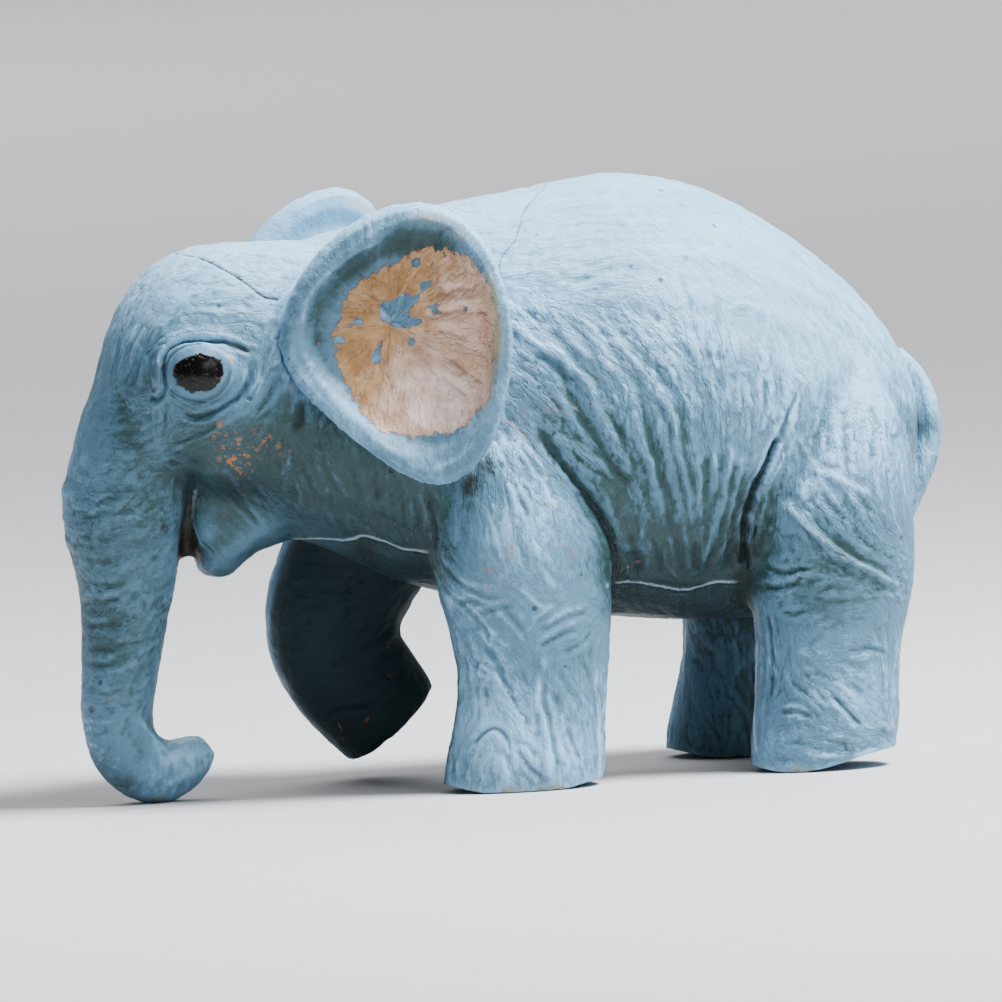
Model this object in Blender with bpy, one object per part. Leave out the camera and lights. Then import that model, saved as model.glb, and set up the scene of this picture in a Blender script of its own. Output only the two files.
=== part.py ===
"""Toy elephant calf: a moulded figure glued up from twelve pieces.

The figure walks towards -X with its tail at +X, +Z is up and its left side is at -Y.
The soles stand on Z = 0.  All lengths are metres.
"""
import math

import bmesh
import bpy
from mathutils import Matrix, Vector
from mathutils.bvhtree import BVHTree

# Overall sizes
MM = 0.001
FIGURE_LENGTH = 100.0 * MM      # trunk front to tail
TORSO_WIDTH = 37.0 * MM         # widest place of the barrel
HEAD_WIDTH = 26.0 * MM          # over the temples
TRUNK_WIDTH = 13.2 * MM         # at the level of the mouth
LEG_WIDTH = 13.0 * MM           # across a leg, at mid height

# Joints between the glued pieces
JOINT_GAP = 0.3 * MM            # open line between two pieces
LEG_PEG_RADIUS = 2.6 * MM
LEG_PEG_LENGTH = 3.0 * MM
NECK_PEG_RADIUS = 4.5 * MM
NECK_PEG_LENGTH = 4.0 * MM
SMALL_PEG_RADIUS = 1.5 * MM
SMALL_PEG_LENGTH = 2.6 * MM
PEG_ROOT = 1.2 * MM             # how far a peg starts inside its own piece
LOW_CORE_HALF_WIDTH = 3.0 * MM  # below the belly everything further out belongs to a leg
CORE_HALF_WIDTH = 5.5 * MM      # middle of the torso that the legs leave standing, at the soles
CORE_LEAN = 0.07                # how much wider that middle gets with height
JAW_HALF_WIDTH = 6.0 * MM
MOUTH_WIDTH = 0.9 * MM          # open slit between the trunk and the lower lip

# Ears
EAR_DISH = 2.6 * MM             # depth of the hollow face
EAR_PLATE = 1.7 * MM            # thickness in the middle
EAR_RIM = 2.5 * MM              # thickness of the rolled edge
EAR_TOP_RIM = 3.3 * MM          # thickness of the edge at its top
EAR_FRONT_OUT = 13.4 * MM       # distance of the front edge from the middle plane
EAR_REAR_OUT = 22.6 * MM        # distance of the rear edge from the middle plane
EAR_TOP_LEAN = 2.2 * MM         # how far the top leans in

# Eyes and tail
EYE_RADIUS = 3.8 * MM
EYE_BULGE = 1.0 * MM            # how far an eyeball stands out of the head
EYELID_LENGTH = 7.4 * MM        # over the middle of the ring of skin round the eye
EYELID_HEIGHT = 5.4 * MM
LID_THICKNESS = 0.7 * MM
TAIL_HALF_WIDTH = 2.3 * MM

# How fine the form is
BLEND_VOXEL = 0.7 * MM
WELD = 0.02 * MM
FAR = 90.0 * MM                 # reach of a cutter beyond the figure
MASTER_TRIANGLES = 5200
RING_SIDES = 28
TAIL_SIDES = 12
MASS_SIDES = 16
PEG_SIDES = 12
EYE_SIDES = 20
LID_STEPS = 20
LID_SIDES = 6

LENGTHWISE = (1.0, 0.0, 0.0)
UPRIGHT = (0.0, 0.0, 1.0)

# One hundredth of the figure's length: the tables below are shares of the length in hundredths.
HUNDREDTH = FIGURE_LENGTH / 100.0

# Torso: place along the length, top, underside, half width as a share of the widest
TORSO_SHARES = (
    (-25.0, 59.2, 29.0, 0.66),
    (-18.0, 60.8, 26.2, 0.76),
    (-10.0, 62.7, 22.2, 0.87),
    (-2.0, 63.9, 20.0, 0.93),
    (6.0, 64.9, 18.2, 0.98),
    (14.0, 66.0, 17.0, 1.00),
    (20.0, 65.4, 16.3, 1.00),
    (26.0, 63.7, 16.0, 0.97),
    (32.0, 60.3, 16.0, 0.92),
    (38.0, 55.8, 17.2, 0.82),
    (42.5, 51.4, 20.6, 0.72),
    (45.6, 47.2, 26.0, 0.56),
    (47.4, 43.8, 30.8, 0.40),
    (48.4, 40.6, 34.5, 0.20),
)
# Head and neck: place along the length, top, underside, half width as a share of the head's
HEAD_SHARES = (
    (-18.0, 60.4, 27.8, 1.04),
    (-24.0, 60.6, 29.2, 1.00),
    (-29.0, 60.8, 31.6, 0.99),
    (-33.0, 60.2, 33.4, 0.96),
    (-36.5, 58.6, 34.4, 0.88),
    (-39.4, 55.7, 34.0, 0.74),
    (-41.5, 52.0, 35.5, 0.57),
    (-43.0, 46.8, 37.0, 0.38),
)
# Trunk: place along the length, height, half depth, half width as a share of the trunk's
TRUNK_SHARES = (
    (-33.5, 46.5, 9.2, 1.50),
    (-37.4, 41.6, 7.7, 1.26),
    (-40.2, 36.3, 6.9, 1.08),
    (-41.3, 31.0, 6.7, 0.96),
    (-41.2, 26.5, 5.9, 0.88),
    (-41.5, 22.0, 5.0, 0.78),
    (-42.1, 17.0, 4.5, 0.70),
    (-42.8, 12.0, 4.1, 0.64),
    (-43.0, 8.2, 3.9, 0.61),
    (-41.8, 5.1, 3.8, 0.60),
    (-39.1, 3.2, 3.6, 0.58),
    (-36.3, 3.8, 3.1, 0.54),
    (-34.2, 5.1, 2.4, 0.46),
    (-32.9, 6.0, 1.5, 0.32),
)
# Lower jaw: the same columns, half widths as shares of the jaw's
JAW_SHARES = (
    (-22.4, 33.4, 5.2, 1.20),
    (-25.8, 31.9, 5.0, 1.06),
    (-28.6, 30.0, 4.2, 0.94),
    (-30.4, 27.6, 3.2, 0.80),
    (-31.0, 25.6, 2.6, 0.62),
    (-31.2, 24.0, 1.4, 0.36),
)
# Standing legs: height, front edge, rear edge, distance out, half width as a share of a leg's
FRONT_LEG_SHARES = (
    (38.0, -8.0, 3.5, 11.6, 1.00),
    (33.0, -9.6, 6.6, 12.0, 1.12),
    (28.0, -10.0, 9.2, 12.4, 1.12),
    (23.0, -9.8, 9.9, 12.8, 1.06),
    (17.6, -8.5, 9.6, 13.1, 0.99),
    (12.0, -7.8, 9.0, 13.3, 0.96),
    (7.7, -8.4, 8.4, 13.5, 0.98),
    (3.3, -9.6, 8.0, 13.6, 1.04),
    (-1.5, -10.2, 7.6, 13.6, 1.04),
)
REAR_LEFT_SHARES = (
    (46.5, 36.0, 39.5, 9.0, 0.46),
    (42.0, 33.4, 42.4, 9.8, 0.78),
    (36.5, 30.4, 44.6, 10.9, 1.04),
    (31.0, 27.4, 44.8, 11.8, 1.18),
    (26.5, 26.0, 44.7, 12.1, 1.18),
    (21.5, 25.8, 44.6, 12.4, 1.10),
    (16.6, 26.3, 43.5, 12.7, 1.02),
    (12.3, 26.1, 42.3, 12.9, 0.98),
    (7.8, 25.8, 42.0, 13.0, 0.99),
    (3.0, 25.2, 41.7, 13.0, 1.04),
    (-1.5, 24.9, 41.2, 13.0, 1.04),
)
REAR_RIGHT_SHARES = (
    (46.5, 36.0, 39.5, 9.0, 0.46),
    (42.0, 33.4, 42.4, 9.8, 0.78),
    (36.5, 30.4, 44.6, 10.9, 1.04),
    (31.0, 27.4, 44.8, 11.8, 1.18),
    (26.5, 26.0, 44.7, 12.1, 1.18),
    (21.5, 25.4, 43.6, 12.4, 1.10),
    (16.6, 25.2, 41.8, 12.5, 1.02),
    (12.3, 25.2, 40.8, 12.6, 0.98),
    (7.8, 24.2, 39.8, 12.6, 0.99),
    (3.0, 23.0, 39.2, 12.6, 1.04),
    (-1.5, 22.4, 38.6, 12.6, 1.04),
)
# Raised leg: place along the length, height, half depth, distance out, half width share
RAISED_LEG_SHARES = (
    (-5.0, 37.0, 8.0, 11.6, 1.00),
    (-9.2, 29.5, 8.6, 12.2, 1.08),
    (-13.0, 23.2, 8.0, 12.7, 1.00),
    (-15.1, 18.0, 7.6, 12.9, 0.95),
    (-14.2, 13.2, 7.2, 12.9, 0.92),
    (-11.6, 9.4, 6.8, 12.9, 0.94),
    (-8.6, 5.9, 6.3, 12.9, 0.94),
)
# Tail: place along the length, height, half thickness, half width as a share of the tail's
TAIL_SHARES = (
    (46.9, 43.9, 1.5, 0.60),
    (48.6, 41.8, 1.8, 0.80),
    (50.0, 38.6, 1.9, 0.90),
    (50.2, 35.0, 1.9, 0.95),
    (49.3, 31.6, 1.9, 1.00),
    (47.8, 28.6, 1.8, 1.10),
    (46.6, 25.8, 1.5, 1.00),
    (46.0, 23.8, 0.8, 0.50),
)
# Rounded masses: place along the length, distance out, height, then three half sizes
CHEEK_SHARES = (-29.5, 6.8, 41.0, 7.4, 5.4, 7.6)
BROW_SHARES = (-35.2, 6.6, 51.4, 4.6, 3.6, 3.0)
SHOULDER_SHARES = (-1.5, 11.5, 35.0, 10.5, 6.4, 12.0)
THIGH_SHARES = (36.2, 9.2, 33.0, 9.2, 7.2, 12.0)
EAR_MOUNT_SHARES = (-18.5, 9.2, 49.5, 8.5, 5.2, 8.6)
# Root of an ear, sunk into the nape
EAR_ROOT_SHARES = (-19.0, 12.0, 50.0, 4.6, 2.4, 6.4)
# Eyeball: place along the length and height
EYE_SHARES = (-35.1, 47.4)
# Ear outline seen from the side: place along the length and height
EAR_SHARES = (
    (-26.3, 50.0),
    (-25.0, 55.0),
    (-21.6, 59.8),
    (-16.6, 63.4),
    (-10.9, 64.7),
    (-6.5, 62.7),
    (-3.8, 58.2),
    (-2.6, 53.0),
    (-2.5, 47.8),
    (-3.7, 41.4),
    (-5.7, 37.0),
    (-8.9, 34.1),
    (-12.6, 34.2),
    (-17.0, 37.2),
    (-21.4, 41.4),
    (-24.8, 45.4),
)
EAR_MIDDLE_SHARES = (-11.6, 50.2)
# Across the ear from its middle to its edge: reach, thickness
EAR_SECTION_SHARES = (
    (0.40, 1.00),
    (0.72, 1.00),
    (0.85, 1.15),
    (0.95, 0.84),
)
# Where the plate of an ear starts to thicken into its rim, and over how much of the reach
RIM_START_SHARE = 0.6
RIM_GROWTH_SHARE = 0.3

# Lines where one piece ends: place along the length and height
NECK_LINE_SHARE = -24.0
NECK_POINT_SHARE = -9.0         # how far the line on the crown reaches forward
CROWN_HALF_SHARE = 13.0
CROWN_HEIGHT_SHARES = (44.0, 56.0)
SADDLE_LINE_SHARES = (
    (-45.0, 47.0),
    (-9.0, 47.0),
    (-4.2, 49.6),
    (-1.3, 54.2),
    (0.9, 58.5),
    (3.8, 62.3),
    (7.0, 65.4),
    (9.0, 69.0),
    (-45.0, 69.0),
)
BELLY_LINE_SHARES = (
    (-26.0, 31.0),
    (-22.0, 29.6),
    (-16.0, 27.6),
    (-10.6, 26.2),
    (-1.0, 23.8),
    (9.9, 21.8),
    (18.7, 20.6),
    (25.6, 20.6),
    (33.0, 20.8),
    (40.5, 21.6),
    (41.0, 10.0),
    (-26.0, 10.0),
)
FRONT_ARCH_SHARES = (
    (-11.5, 26.0),
    (-10.6, 31.0),
    (-8.2, 35.4),
    (-4.2, 37.6),
    (0.6, 37.2),
    (5.0, 34.6),
    (8.9, 30.0),
    (10.2, 24.5),
    (11.2, 14.0),
    (11.2, -6.0),
    (-13.0, -6.0),
    (-13.0, 14.0),
)
RAISED_ARCH_SHARES = (
    (-26.0, 28.0),
    (-15.4, 32.0),
    (-9.0, 36.6),
    (-4.2, 37.6),
    (0.6, 36.0),
    (2.6, 31.0),
    (1.0, 25.0),
    (-2.0, 19.0),
    (-2.0, 0.0),
    (-26.0, 0.0),
)
REAR_ARCH_SHARES = (
    (25.2, 23.0),
    (25.9, 27.6),
    (28.9, 35.1),
    (32.0, 39.9),
    (37.0, 42.0),
    (42.0, 41.0),
    (46.2, 37.0),
    (55.0, 33.0),
    (55.0, -6.0),
    (20.0, -6.0),
    (20.0, 14.0),
    (24.6, 18.0),
)
FRONT_LOW_SHARES = ((-15.0, 21.0), (12.8, 15.0), (12.8, -7.5), (-15.0, -7.5))
RAISED_LOW_SHARES = ((-27.8, 26.6), (-14.0, 22.0), (0.0, 17.4), (0.0, -1.5), (-27.8, -1.5))
REAR_LOW_SHARES = ((18.4, 14.2), (56.6, 14.2), (56.6, -7.5), (18.4, -7.5))
JAW_LINE_SHARES = (
    (-34.2, 33.9),
    (-31.5, 33.6),
    (-27.0, 32.4),
    (-20.0, 30.6),
    (-20.0, 20.0),
    (-34.9, 20.0),
    (-34.7, 27.0),
)
MOUTH_LINE_SHARES = (
    (-34.1, 34.2),
    (-34.7, 27.0),
    (-34.9, 20.0),
)
# Opening of the mouth at its lower end, middle and upper end
MOUTH_TAPER_SHARES = (1.5, 1.2, 0.5)

# Feet of the pegs: place along the length and height
NECK_PEG_SHARES = (-24.0, 40.0)
SADDLE_PEG_SHARES = (-10.0, 47.0)
BELLY_PEG_SHARES = ((-2.0, 24.1), (20.0, 20.6))
FRONT_LEG_PEG_SHARES = (-1.0, 31.0)
RAISED_LEG_PEG_SHARES = (-4.0, 31.5)
REAR_LEG_PEG_SHARES = (36.5, 34.0)
JAW_PEG_SHARES = (-28.5, 32.8)
TAIL_PEG_SHARES = (48.6, 38.0)


def hundredths(*shares):
    """Turn shares of the figure's length into metres."""
    return [share * HUNDREDTH for share in shares]


def clear_scene():
    for thing in list(bpy.data.objects):
        bpy.data.objects.remove(thing, do_unlink=True)


def add_object(name, mesh):
    thing = bpy.data.objects.new(name, mesh)
    bpy.context.scene.collection.objects.link(thing)
    return thing


def object_from(name, points, faces):
    """A mesh object from a point list and a face list, with its faces turned outward."""
    mesh = bpy.data.meshes.new(name)
    mesh.from_pydata([tuple(point) for point in points], [], faces)
    form = bmesh.new()
    form.from_mesh(mesh)
    bmesh.ops.triangulate(form, faces=form.faces)
    bmesh.ops.recalc_face_normals(form, faces=form.faces)
    form.to_mesh(mesh)
    form.free()
    return add_object(name, mesh)


def settle(thing):
    """Replace the object's mesh by what its modifiers make of it."""
    graph = bpy.context.evaluated_depsgraph_get()
    made = bpy.data.meshes.new_from_object(thing.evaluated_get(graph))
    thing.modifiers.clear()
    thing.data = made
    return thing


def remesh(thing, voxel):
    step = thing.modifiers.new("blend", "REMESH")
    step.mode = "VOXEL"
    step.voxel_size = voxel
    return settle(thing)


def smooth(thing, rounds):
    step = thing.modifiers.new("soften", "SMOOTH")
    step.factor = 0.5
    step.iterations = rounds
    return settle(thing)


def thin_out(thing, triangles):
    form = bmesh.new()
    form.from_mesh(thing.data)
    bmesh.ops.triangulate(form, faces=form.faces)
    now = len(form.faces)
    form.to_mesh(thing.data)
    form.free()
    step = thing.modifiers.new("thin_out", "DECIMATE")
    step.ratio = min(1.0, triangles / now)
    return settle(thing)


def weld(thing):
    """Triangulate, and close up needle faces where that leaves the piece closed."""
    form = bmesh.new()
    form.from_mesh(thing.data)
    bmesh.ops.triangulate(form, faces=form.faces)
    form.to_mesh(thing.data)
    bmesh.ops.remove_doubles(form, verts=form.verts, dist=WELD)
    bmesh.ops.dissolve_degenerate(form, dist=WELD, edges=form.edges)
    bmesh.ops.triangulate(form, faces=form.faces)
    if all(len(edge.link_faces) == 2 for edge in form.edges):
        form.to_mesh(thing.data)
    form.free()
    return thing


def put_in_order(thing):
    """Number the points and faces by where they are, so that each run makes the same piece."""
    places = [tuple(vert.co) for vert in thing.data.vertices]
    ranking = sorted(range(len(places)), key=lambda index: places[index])
    rank = {old: new for new, old in enumerate(ranking)}
    faces = []
    for face in thing.data.polygons:
        corners = [rank[index] for index in face.vertices]
        lowest = corners.index(min(corners))
        faces.append(tuple(corners[lowest:] + corners[:lowest]))
    ordered = bpy.data.meshes.new(thing.name)
    ordered.from_pydata([places[index] for index in ranking], [], sorted(faces))
    thing.data = ordered
    return thing


def combine(target, tool, operation):
    """Exact boolean of the target with the tool; the tool stays."""
    step = target.modifiers.new("cut", "BOOLEAN")
    step.operation = operation
    step.solver = "EXACT"
    step.object = tool
    return weld(put_in_order(settle(target)))


def copy_of(thing, name):
    return add_object(name, thing.data.copy())


def drop(*things):
    for thing in things:
        bpy.data.objects.remove(thing, do_unlink=True)


def join(name, things):
    """All the things as one mesh, still overlapping."""
    form = bmesh.new()
    for thing in things:
        form.from_mesh(thing.data)
    mesh = bpy.data.meshes.new(name)
    form.to_mesh(mesh)
    form.free()
    drop(*things)
    return add_object(name, mesh)


def keep_largest(thing):
    """Remove crumbs that a cut left beside the piece."""
    form = bmesh.new()
    form.from_mesh(thing.data)
    islands = []
    waiting = set(form.verts)
    for start in form.verts:
        if start not in waiting:
            continue
        waiting.discard(start)
        island = [start]
        for vert in island:
            for edge in vert.link_edges:
                other = edge.other_vert(vert)
                if other in waiting:
                    waiting.discard(other)
                    island.append(other)
        islands.append(island)
    islands.sort(key=len)
    crumbs = [vert for island in islands[:-1] for vert in island]
    bmesh.ops.delete(form, geom=crumbs, context="VERTS")
    form.to_mesh(thing.data)
    form.free()
    return thing


def between(before, start, end, after, share):
    """Smooth curve through the start and the end, at a share of the way."""
    square = share * share
    cube = square * share
    values = []
    for a, b, c, d in zip(before, start, end, after):
        values.append(0.5 * (2.0 * b + (c - a) * share
                             + (2.0 * a - 5.0 * b + 4.0 * c - d) * square
                             + (3.0 * b - a - 3.0 * c + d) * cube))
    return values


def flowing(rows, steps, closed=False):
    """Rows of numbers with smooth rows added between them."""
    count = len(rows)
    spans = count if closed else count - 1
    flow = []
    for index in range(spans):
        if closed:
            four = [rows[(index + shift) % count] for shift in (-1, 0, 1, 2)]
        else:
            four = [rows[min(max(index + shift, 0), count - 1)] for shift in (-1, 0, 1, 2)]
        for step in range(steps):
            flow.append(between(*four, step / steps))
    if not closed:
        flow.append(list(rows[-1]))
    return flow


def tube(name, stations, steps=3, square=2.2, low_weight=0.0, facing=None, sides=RING_SIDES):
    """Closed loft; a station is (x, y, z, half depth in the XZ plane, half width along Y).

    Each ring stands square to the middle line, or to the facing direction where one is given.
    """
    rows = flowing(stations, steps)
    points = []
    for index, row in enumerate(rows):
        before = rows[max(index - 1, 0)]
        after = rows[min(index + 1, len(rows) - 1)]
        along = Vector((after[0] - before[0], 0.0, after[2] - before[2])).normalized()
        if facing:
            along = Vector(facing)
        across = Vector((-along.z, 0.0, along.x))
        centre = Vector(row[:3])
        for side in range(sides):
            angle = 2.0 * math.pi * side / sides
            cosine, sine = math.cos(angle), math.sin(angle)
            power = 2.0 / square
            deep = math.copysign(abs(cosine) ** power, cosine)
            wide = math.copysign(abs(sine) ** power, sine) * (1.0 - low_weight * cosine)
            points.append(centre + across * (row[3] * deep) + Vector((0.0, row[4] * wide, 0.0)))
    faces = []
    for ring in range(len(rows) - 1):
        for side in range(sides):
            after = (side + 1) % sides
            low, high = ring * sides, (ring + 1) * sides
            faces.append((low + side, low + after, high + after, high + side))
    last = (len(rows) - 1) * sides
    faces.append(tuple(range(sides)))
    faces.append(tuple(last + side for side in range(sides)))
    return object_from(name, points, faces)


def bodies_along(shares, half_width):
    """Stations for a form that runs along the figure."""
    stations = []
    for place, top, under, share in shares:
        x, middle, deep = hundredths(place, (top + under) / 2.0, (top - under) / 2.0)
        stations.append((x, 0.0, middle, deep, half_width * share))
    return stations


def bodies_bent(shares, half_width):
    """Stations for a form whose middle line bends in the middle plane."""
    stations = []
    for place, height, half_depth, share in shares:
        x, z, deep = hundredths(place, height, half_depth)
        stations.append((x, 0.0, z, deep, half_width * share))
    return stations


def bodies_upright(shares, side, half_width):
    """Stations for a standing leg on one side."""
    stations = []
    for height, front, rear, out, share in shares:
        z, x, deep, away = hundredths(height, (front + rear) / 2.0, (rear - front) / 2.0, out)
        stations.append((x, side * away, z, deep, half_width * share))
    return stations


def bodies_raised(shares, side, half_width):
    """Stations for the raised leg."""
    stations = []
    for place, height, half_depth, out, share in shares:
        x, z, deep, away = hundredths(place, height, half_depth, out)
        stations.append((x, side * away, z, deep, half_width * share))
    return stations


def ellipsoid(name, centre, sizes, sides):
    form = bmesh.new()
    frame = Matrix.Translation(centre) @ Matrix.Diagonal((*sizes, 1.0))
    bmesh.ops.create_uvsphere(form, u_segments=sides, v_segments=sides // 2, radius=1.0, matrix=frame)
    mesh = bpy.data.meshes.new(name)
    form.to_mesh(mesh)
    form.free()
    return add_object(name, mesh)


def mass(name, shares, side, grow=0.0):
    x, out, z, long, wide, high = hundredths(*shares)
    return ellipsoid(name, (x, side * out, z), (long + grow, wide + grow, high + grow), MASS_SIDES)


def surface_finder(thing):
    """A function that finds where a line across the figure meets the thing from one side."""
    form = bmesh.new()
    form.from_mesh(thing.data)
    tree = BVHTree.FromBMesh(form)
    form.free()

    def find(x, z, side):
        place, normal, _face, _distance = tree.ray_cast(Vector((x, side * FAR, z)), Vector((0.0, -side, 0.0)))
        return place, normal
    return find


def eyelid(name, find, side):
    """A ring of skin that lies on the head round the eyeball."""
    x, z = hundredths(*EYE_SHARES)
    points, faces = [], []
    for step in range(LID_STEPS):
        angle = 2.0 * math.pi * step / LID_STEPS
        along, up = math.cos(angle), math.sin(angle)
        middle, normal = find(x + along * EYELID_LENGTH / 2.0, z + up * EYELID_HEIGHT / 2.0, side)
        outward = Vector((along * EYELID_HEIGHT, 0.0, up * EYELID_LENGTH)).normalized()
        outward = (outward - normal * outward.dot(normal)).normalized()
        for turn in range(LID_SIDES):
            bend = 2.0 * math.pi * turn / LID_SIDES
            points.append(middle + outward * (LID_THICKNESS * math.cos(bend))
                          + normal * (LID_THICKNESS * math.sin(bend)))
            here = step * LID_SIDES + turn
            there = ((step + 1) % LID_STEPS) * LID_SIDES
            beside = step * LID_SIDES + (turn + 1) % LID_SIDES
            faces.append((here, beside, there + (turn + 1) % LID_SIDES, there + turn))
    return object_from(name, points, faces)


def add_eyes(head):
    """Moulded eyeballs with their lids, made one with the head."""
    find = surface_finder(head)
    x, z = hundredths(*EYE_SHARES)
    for side in (-1.0, 1.0):
        place, normal = find(x, z, side)
        eyeball = ellipsoid("eyeball", place - normal * (EYE_RADIUS - EYE_BULGE), (EYE_RADIUS,) * 3, EYE_SIDES)
        lid = eyelid("lid", find, side)
        combine(head, eyeball, "UNION")
        combine(head, lid, "UNION")
        drop(eyeball, lid)


def prism(name, outline, low, high, lean=0.0):
    """A side view outline made solid from one distance out to another; the first face may lean."""
    count = len(outline)
    points = [Vector((x, low + lean * z, z)) for x, z in outline]
    points += [Vector((x, high, z)) for x, z in outline]
    faces = [tuple(range(count)), tuple(range(2 * count - 1, count - 1, -1))]
    for index in range(count):
        after = (index + 1) % count
        faces.append((index, after, count + after, count + index))
    return object_from(name, points, faces)


def outline_of(shares, grow=0.0, steps=1):
    """Side view outline in metres, moved outward by the growth."""
    corners = [hundredths(*pair) for pair in shares]
    if steps > 1:
        corners = flowing(corners, steps, closed=True)
    area = 0.0
    for index, (x, z) in enumerate(corners):
        after = corners[(index + 1) % len(corners)]
        area += x * after[1] - after[0] * z
    turn = 1.0 if area > 0.0 else -1.0
    grown = []
    for index, (x, z) in enumerate(corners):
        before = Vector(corners[index - 1])
        after = Vector(corners[(index + 1) % len(corners)])
        here = Vector((x, z))
        first = (here - before).normalized()
        second = (after - here).normalized()
        out_first = Vector((first.y, -first.x)) * turn
        out_second = Vector((second.y, -second.x)) * turn
        outward = (out_first + out_second).normalized()
        stretch = max(outward.dot(out_first), 0.5)
        moved = here + outward * (grow / stretch)
        grown.append((moved.x, moved.y))
    return grown


def peg(name, start, direction, radius, length, extra=0.0):
    """A round peg; the extra makes the socket that it stands in."""
    axis = Vector(direction).normalized()
    spin = axis.to_track_quat("Z", "Y").to_matrix().to_4x4()
    reach = length + PEG_ROOT + extra
    middle = Vector(start) + axis * (reach / 2.0 - PEG_ROOT)
    form = bmesh.new()
    bmesh.ops.create_cone(form, cap_ends=True, segments=PEG_SIDES, radius1=radius + extra,
                          radius2=radius + extra, depth=reach,
                          matrix=Matrix.Translation(middle) @ spin)
    mesh = bpy.data.meshes.new(name)
    form.to_mesh(mesh)
    form.free()
    return add_object(name, mesh)


def fit_peg(holder, receiver, start, direction, radius, length):
    """Stand a peg on the holder and sink its socket into the receiver."""
    shape = peg("peg", start, direction, radius, length)
    combine(holder, shape, "UNION")
    drop(shape)
    socket = peg("socket", start, direction, radius, length, JOINT_GAP)
    combine(receiver, socket, "DIFFERENCE")
    drop(socket)


def split(rest, cutter, grown, name):
    """Take the cutter's share of the rest as a piece and leave a gap round it."""
    piece = copy_of(rest, name)
    combine(piece, cutter, "INTERSECT")
    combine(rest, grown, "DIFFERENCE")
    drop(cutter, grown)
    return keep_largest(piece), keep_largest(rest)


def head_cutter(name, grow):
    """Everything in front of the neck line; on the crown the line runs forward to a point."""
    low_z, high_z = hundredths(*CROWN_HEIGHT_SHARES)
    neck, forward, half = hundredths(NECK_LINE_SHARE, NECK_POINT_SHARE, CROWN_HALF_SHARE)
    levels = [-FAR, low_z]
    levels += [low_z + (high_z - low_z) * step / 4.0 for step in range(1, 5)]
    levels.append(FAR)
    sides = [-FAR] + [half * step / 6.0 for step in range(-6, 7)] + [FAR]
    points = []
    for z in levels:
        lift = min(max((z - low_z) / (high_z - low_z), 0.0), 1.0)
        lift = lift * lift * (3.0 - 2.0 * lift)
        for y in sides:
            bump = max(0.0, 1.0 - (y / half) ** 2)
            points.append(Vector((neck + grow + forward * bump * lift, y, z)))
    back = len(points)
    for z in levels:
        for y in sides:
            points.append(Vector((-FAR, y, z)))
    across = len(sides)
    faces = []
    for row in range(len(levels) - 1):
        for column in range(across - 1):
            here = row * across + column
            square = (here, here + 1, here + across + 1, here + across)
            faces.append(square)
            faces.append(tuple(back + corner for corner in reversed(square)))
    for column in range(across - 1):
        faces.append((column, back + column, back + column + 1, column + 1))
        top = (len(levels) - 1) * across + column
        faces.append((top, top + 1, back + top + 1, back + top))
    for row in range(len(levels) - 1):
        near = row * across
        faces.append((near, near + across, back + near + across, back + near))
        far = near + across - 1
        faces.append((far, back + far, back + far + across, far + across))
    return object_from(name, points, faces)


def ear_out(x, z):
    """Distance of the ear's middle surface from the middle plane at its edge."""
    front, top = hundredths(EAR_SHARES[0][0], EAR_SHARES[4][1])
    rear, middle = hundredths(EAR_SHARES[8][0], EAR_MIDDLE_SHARES[1])
    back = (x - front) / (rear - front)
    high = max(0.0, (z - middle) / (top - middle))
    return EAR_FRONT_OUT + (EAR_REAR_OUT - EAR_FRONT_OUT) * back - EAR_TOP_LEAN * high * high


def ear_form(name, side, grow=0.0):
    """Dished plate with a rolled edge; the growth makes the pocket that its root sits in."""
    edge = flowing([hundredths(*pair) for pair in EAR_SHARES], 2, closed=True)
    middle_x, middle_z = hundredths(*EAR_MIDDLE_SHARES)
    top = max(z for x, z in edge)
    count = len(edge)
    outer, inner, rim = [], [], []
    rows = [(share, thick, False) for share, thick in EAR_SECTION_SHARES] + [(1.0, 0.0, True)]
    for share, thick, last in rows:
        for x, z in edge:
            length = math.hypot(x - middle_x, z - middle_z)
            reach = share + (grow / length if last else grow * share / length)
            px = middle_x + (x - middle_x) * reach
            pz = middle_z + (z - middle_z) * reach
            high = max(0.0, (z - middle_z) / (top - middle_z))
            edge_thick = EAR_RIM + (EAR_TOP_RIM - EAR_RIM) * high
            blend = min(max((share - RIM_START_SHARE) / RIM_GROWTH_SHARE, 0.0), 1.0)
            half = (EAR_PLATE + (edge_thick - EAR_PLATE) * blend) * thick / 2.0
            out = ear_out(px, pz) - EAR_DISH * (1.0 - share * share)
            if last:
                rim.append(Vector((px, side * out, pz)))
            else:
                outer.append(Vector((px, side * (out + half + grow), pz)))
                inner.append(Vector((px, side * (out - half - grow), pz)))
    out = ear_out(middle_x, middle_z) - EAR_DISH
    half = EAR_PLATE / 2.0 + grow
    caps = [Vector((middle_x, side * (out + half), middle_z)), Vector((middle_x, side * (out - half), middle_z))]
    points = outer + inner + rim + caps
    rings = len(EAR_SECTION_SHARES)
    inner_start, rim_start = len(outer), len(outer) + len(inner)
    outer_cap, inner_cap = len(points) - 2, len(points) - 1
    faces = []
    for index in range(count):
        after = (index + 1) % count
        faces.append((outer_cap, index, after))
        faces.append((inner_cap, inner_start + after, inner_start + index))
        for ring in range(rings - 1):
            low, high = ring * count, (ring + 1) * count
            faces.append((low + index, high + index, high + after, low + after))
            low, high = low + inner_start, high + inner_start
            faces.append((low + index, low + after, high + after, high + index))
        last = (rings - 1) * count
        faces.append((last + index, rim_start + index, rim_start + after, last + after))
        last += inner_start
        faces.append((last + index, last + after, rim_start + after, rim_start + index))
    return object_from(name, points, faces)


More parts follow.
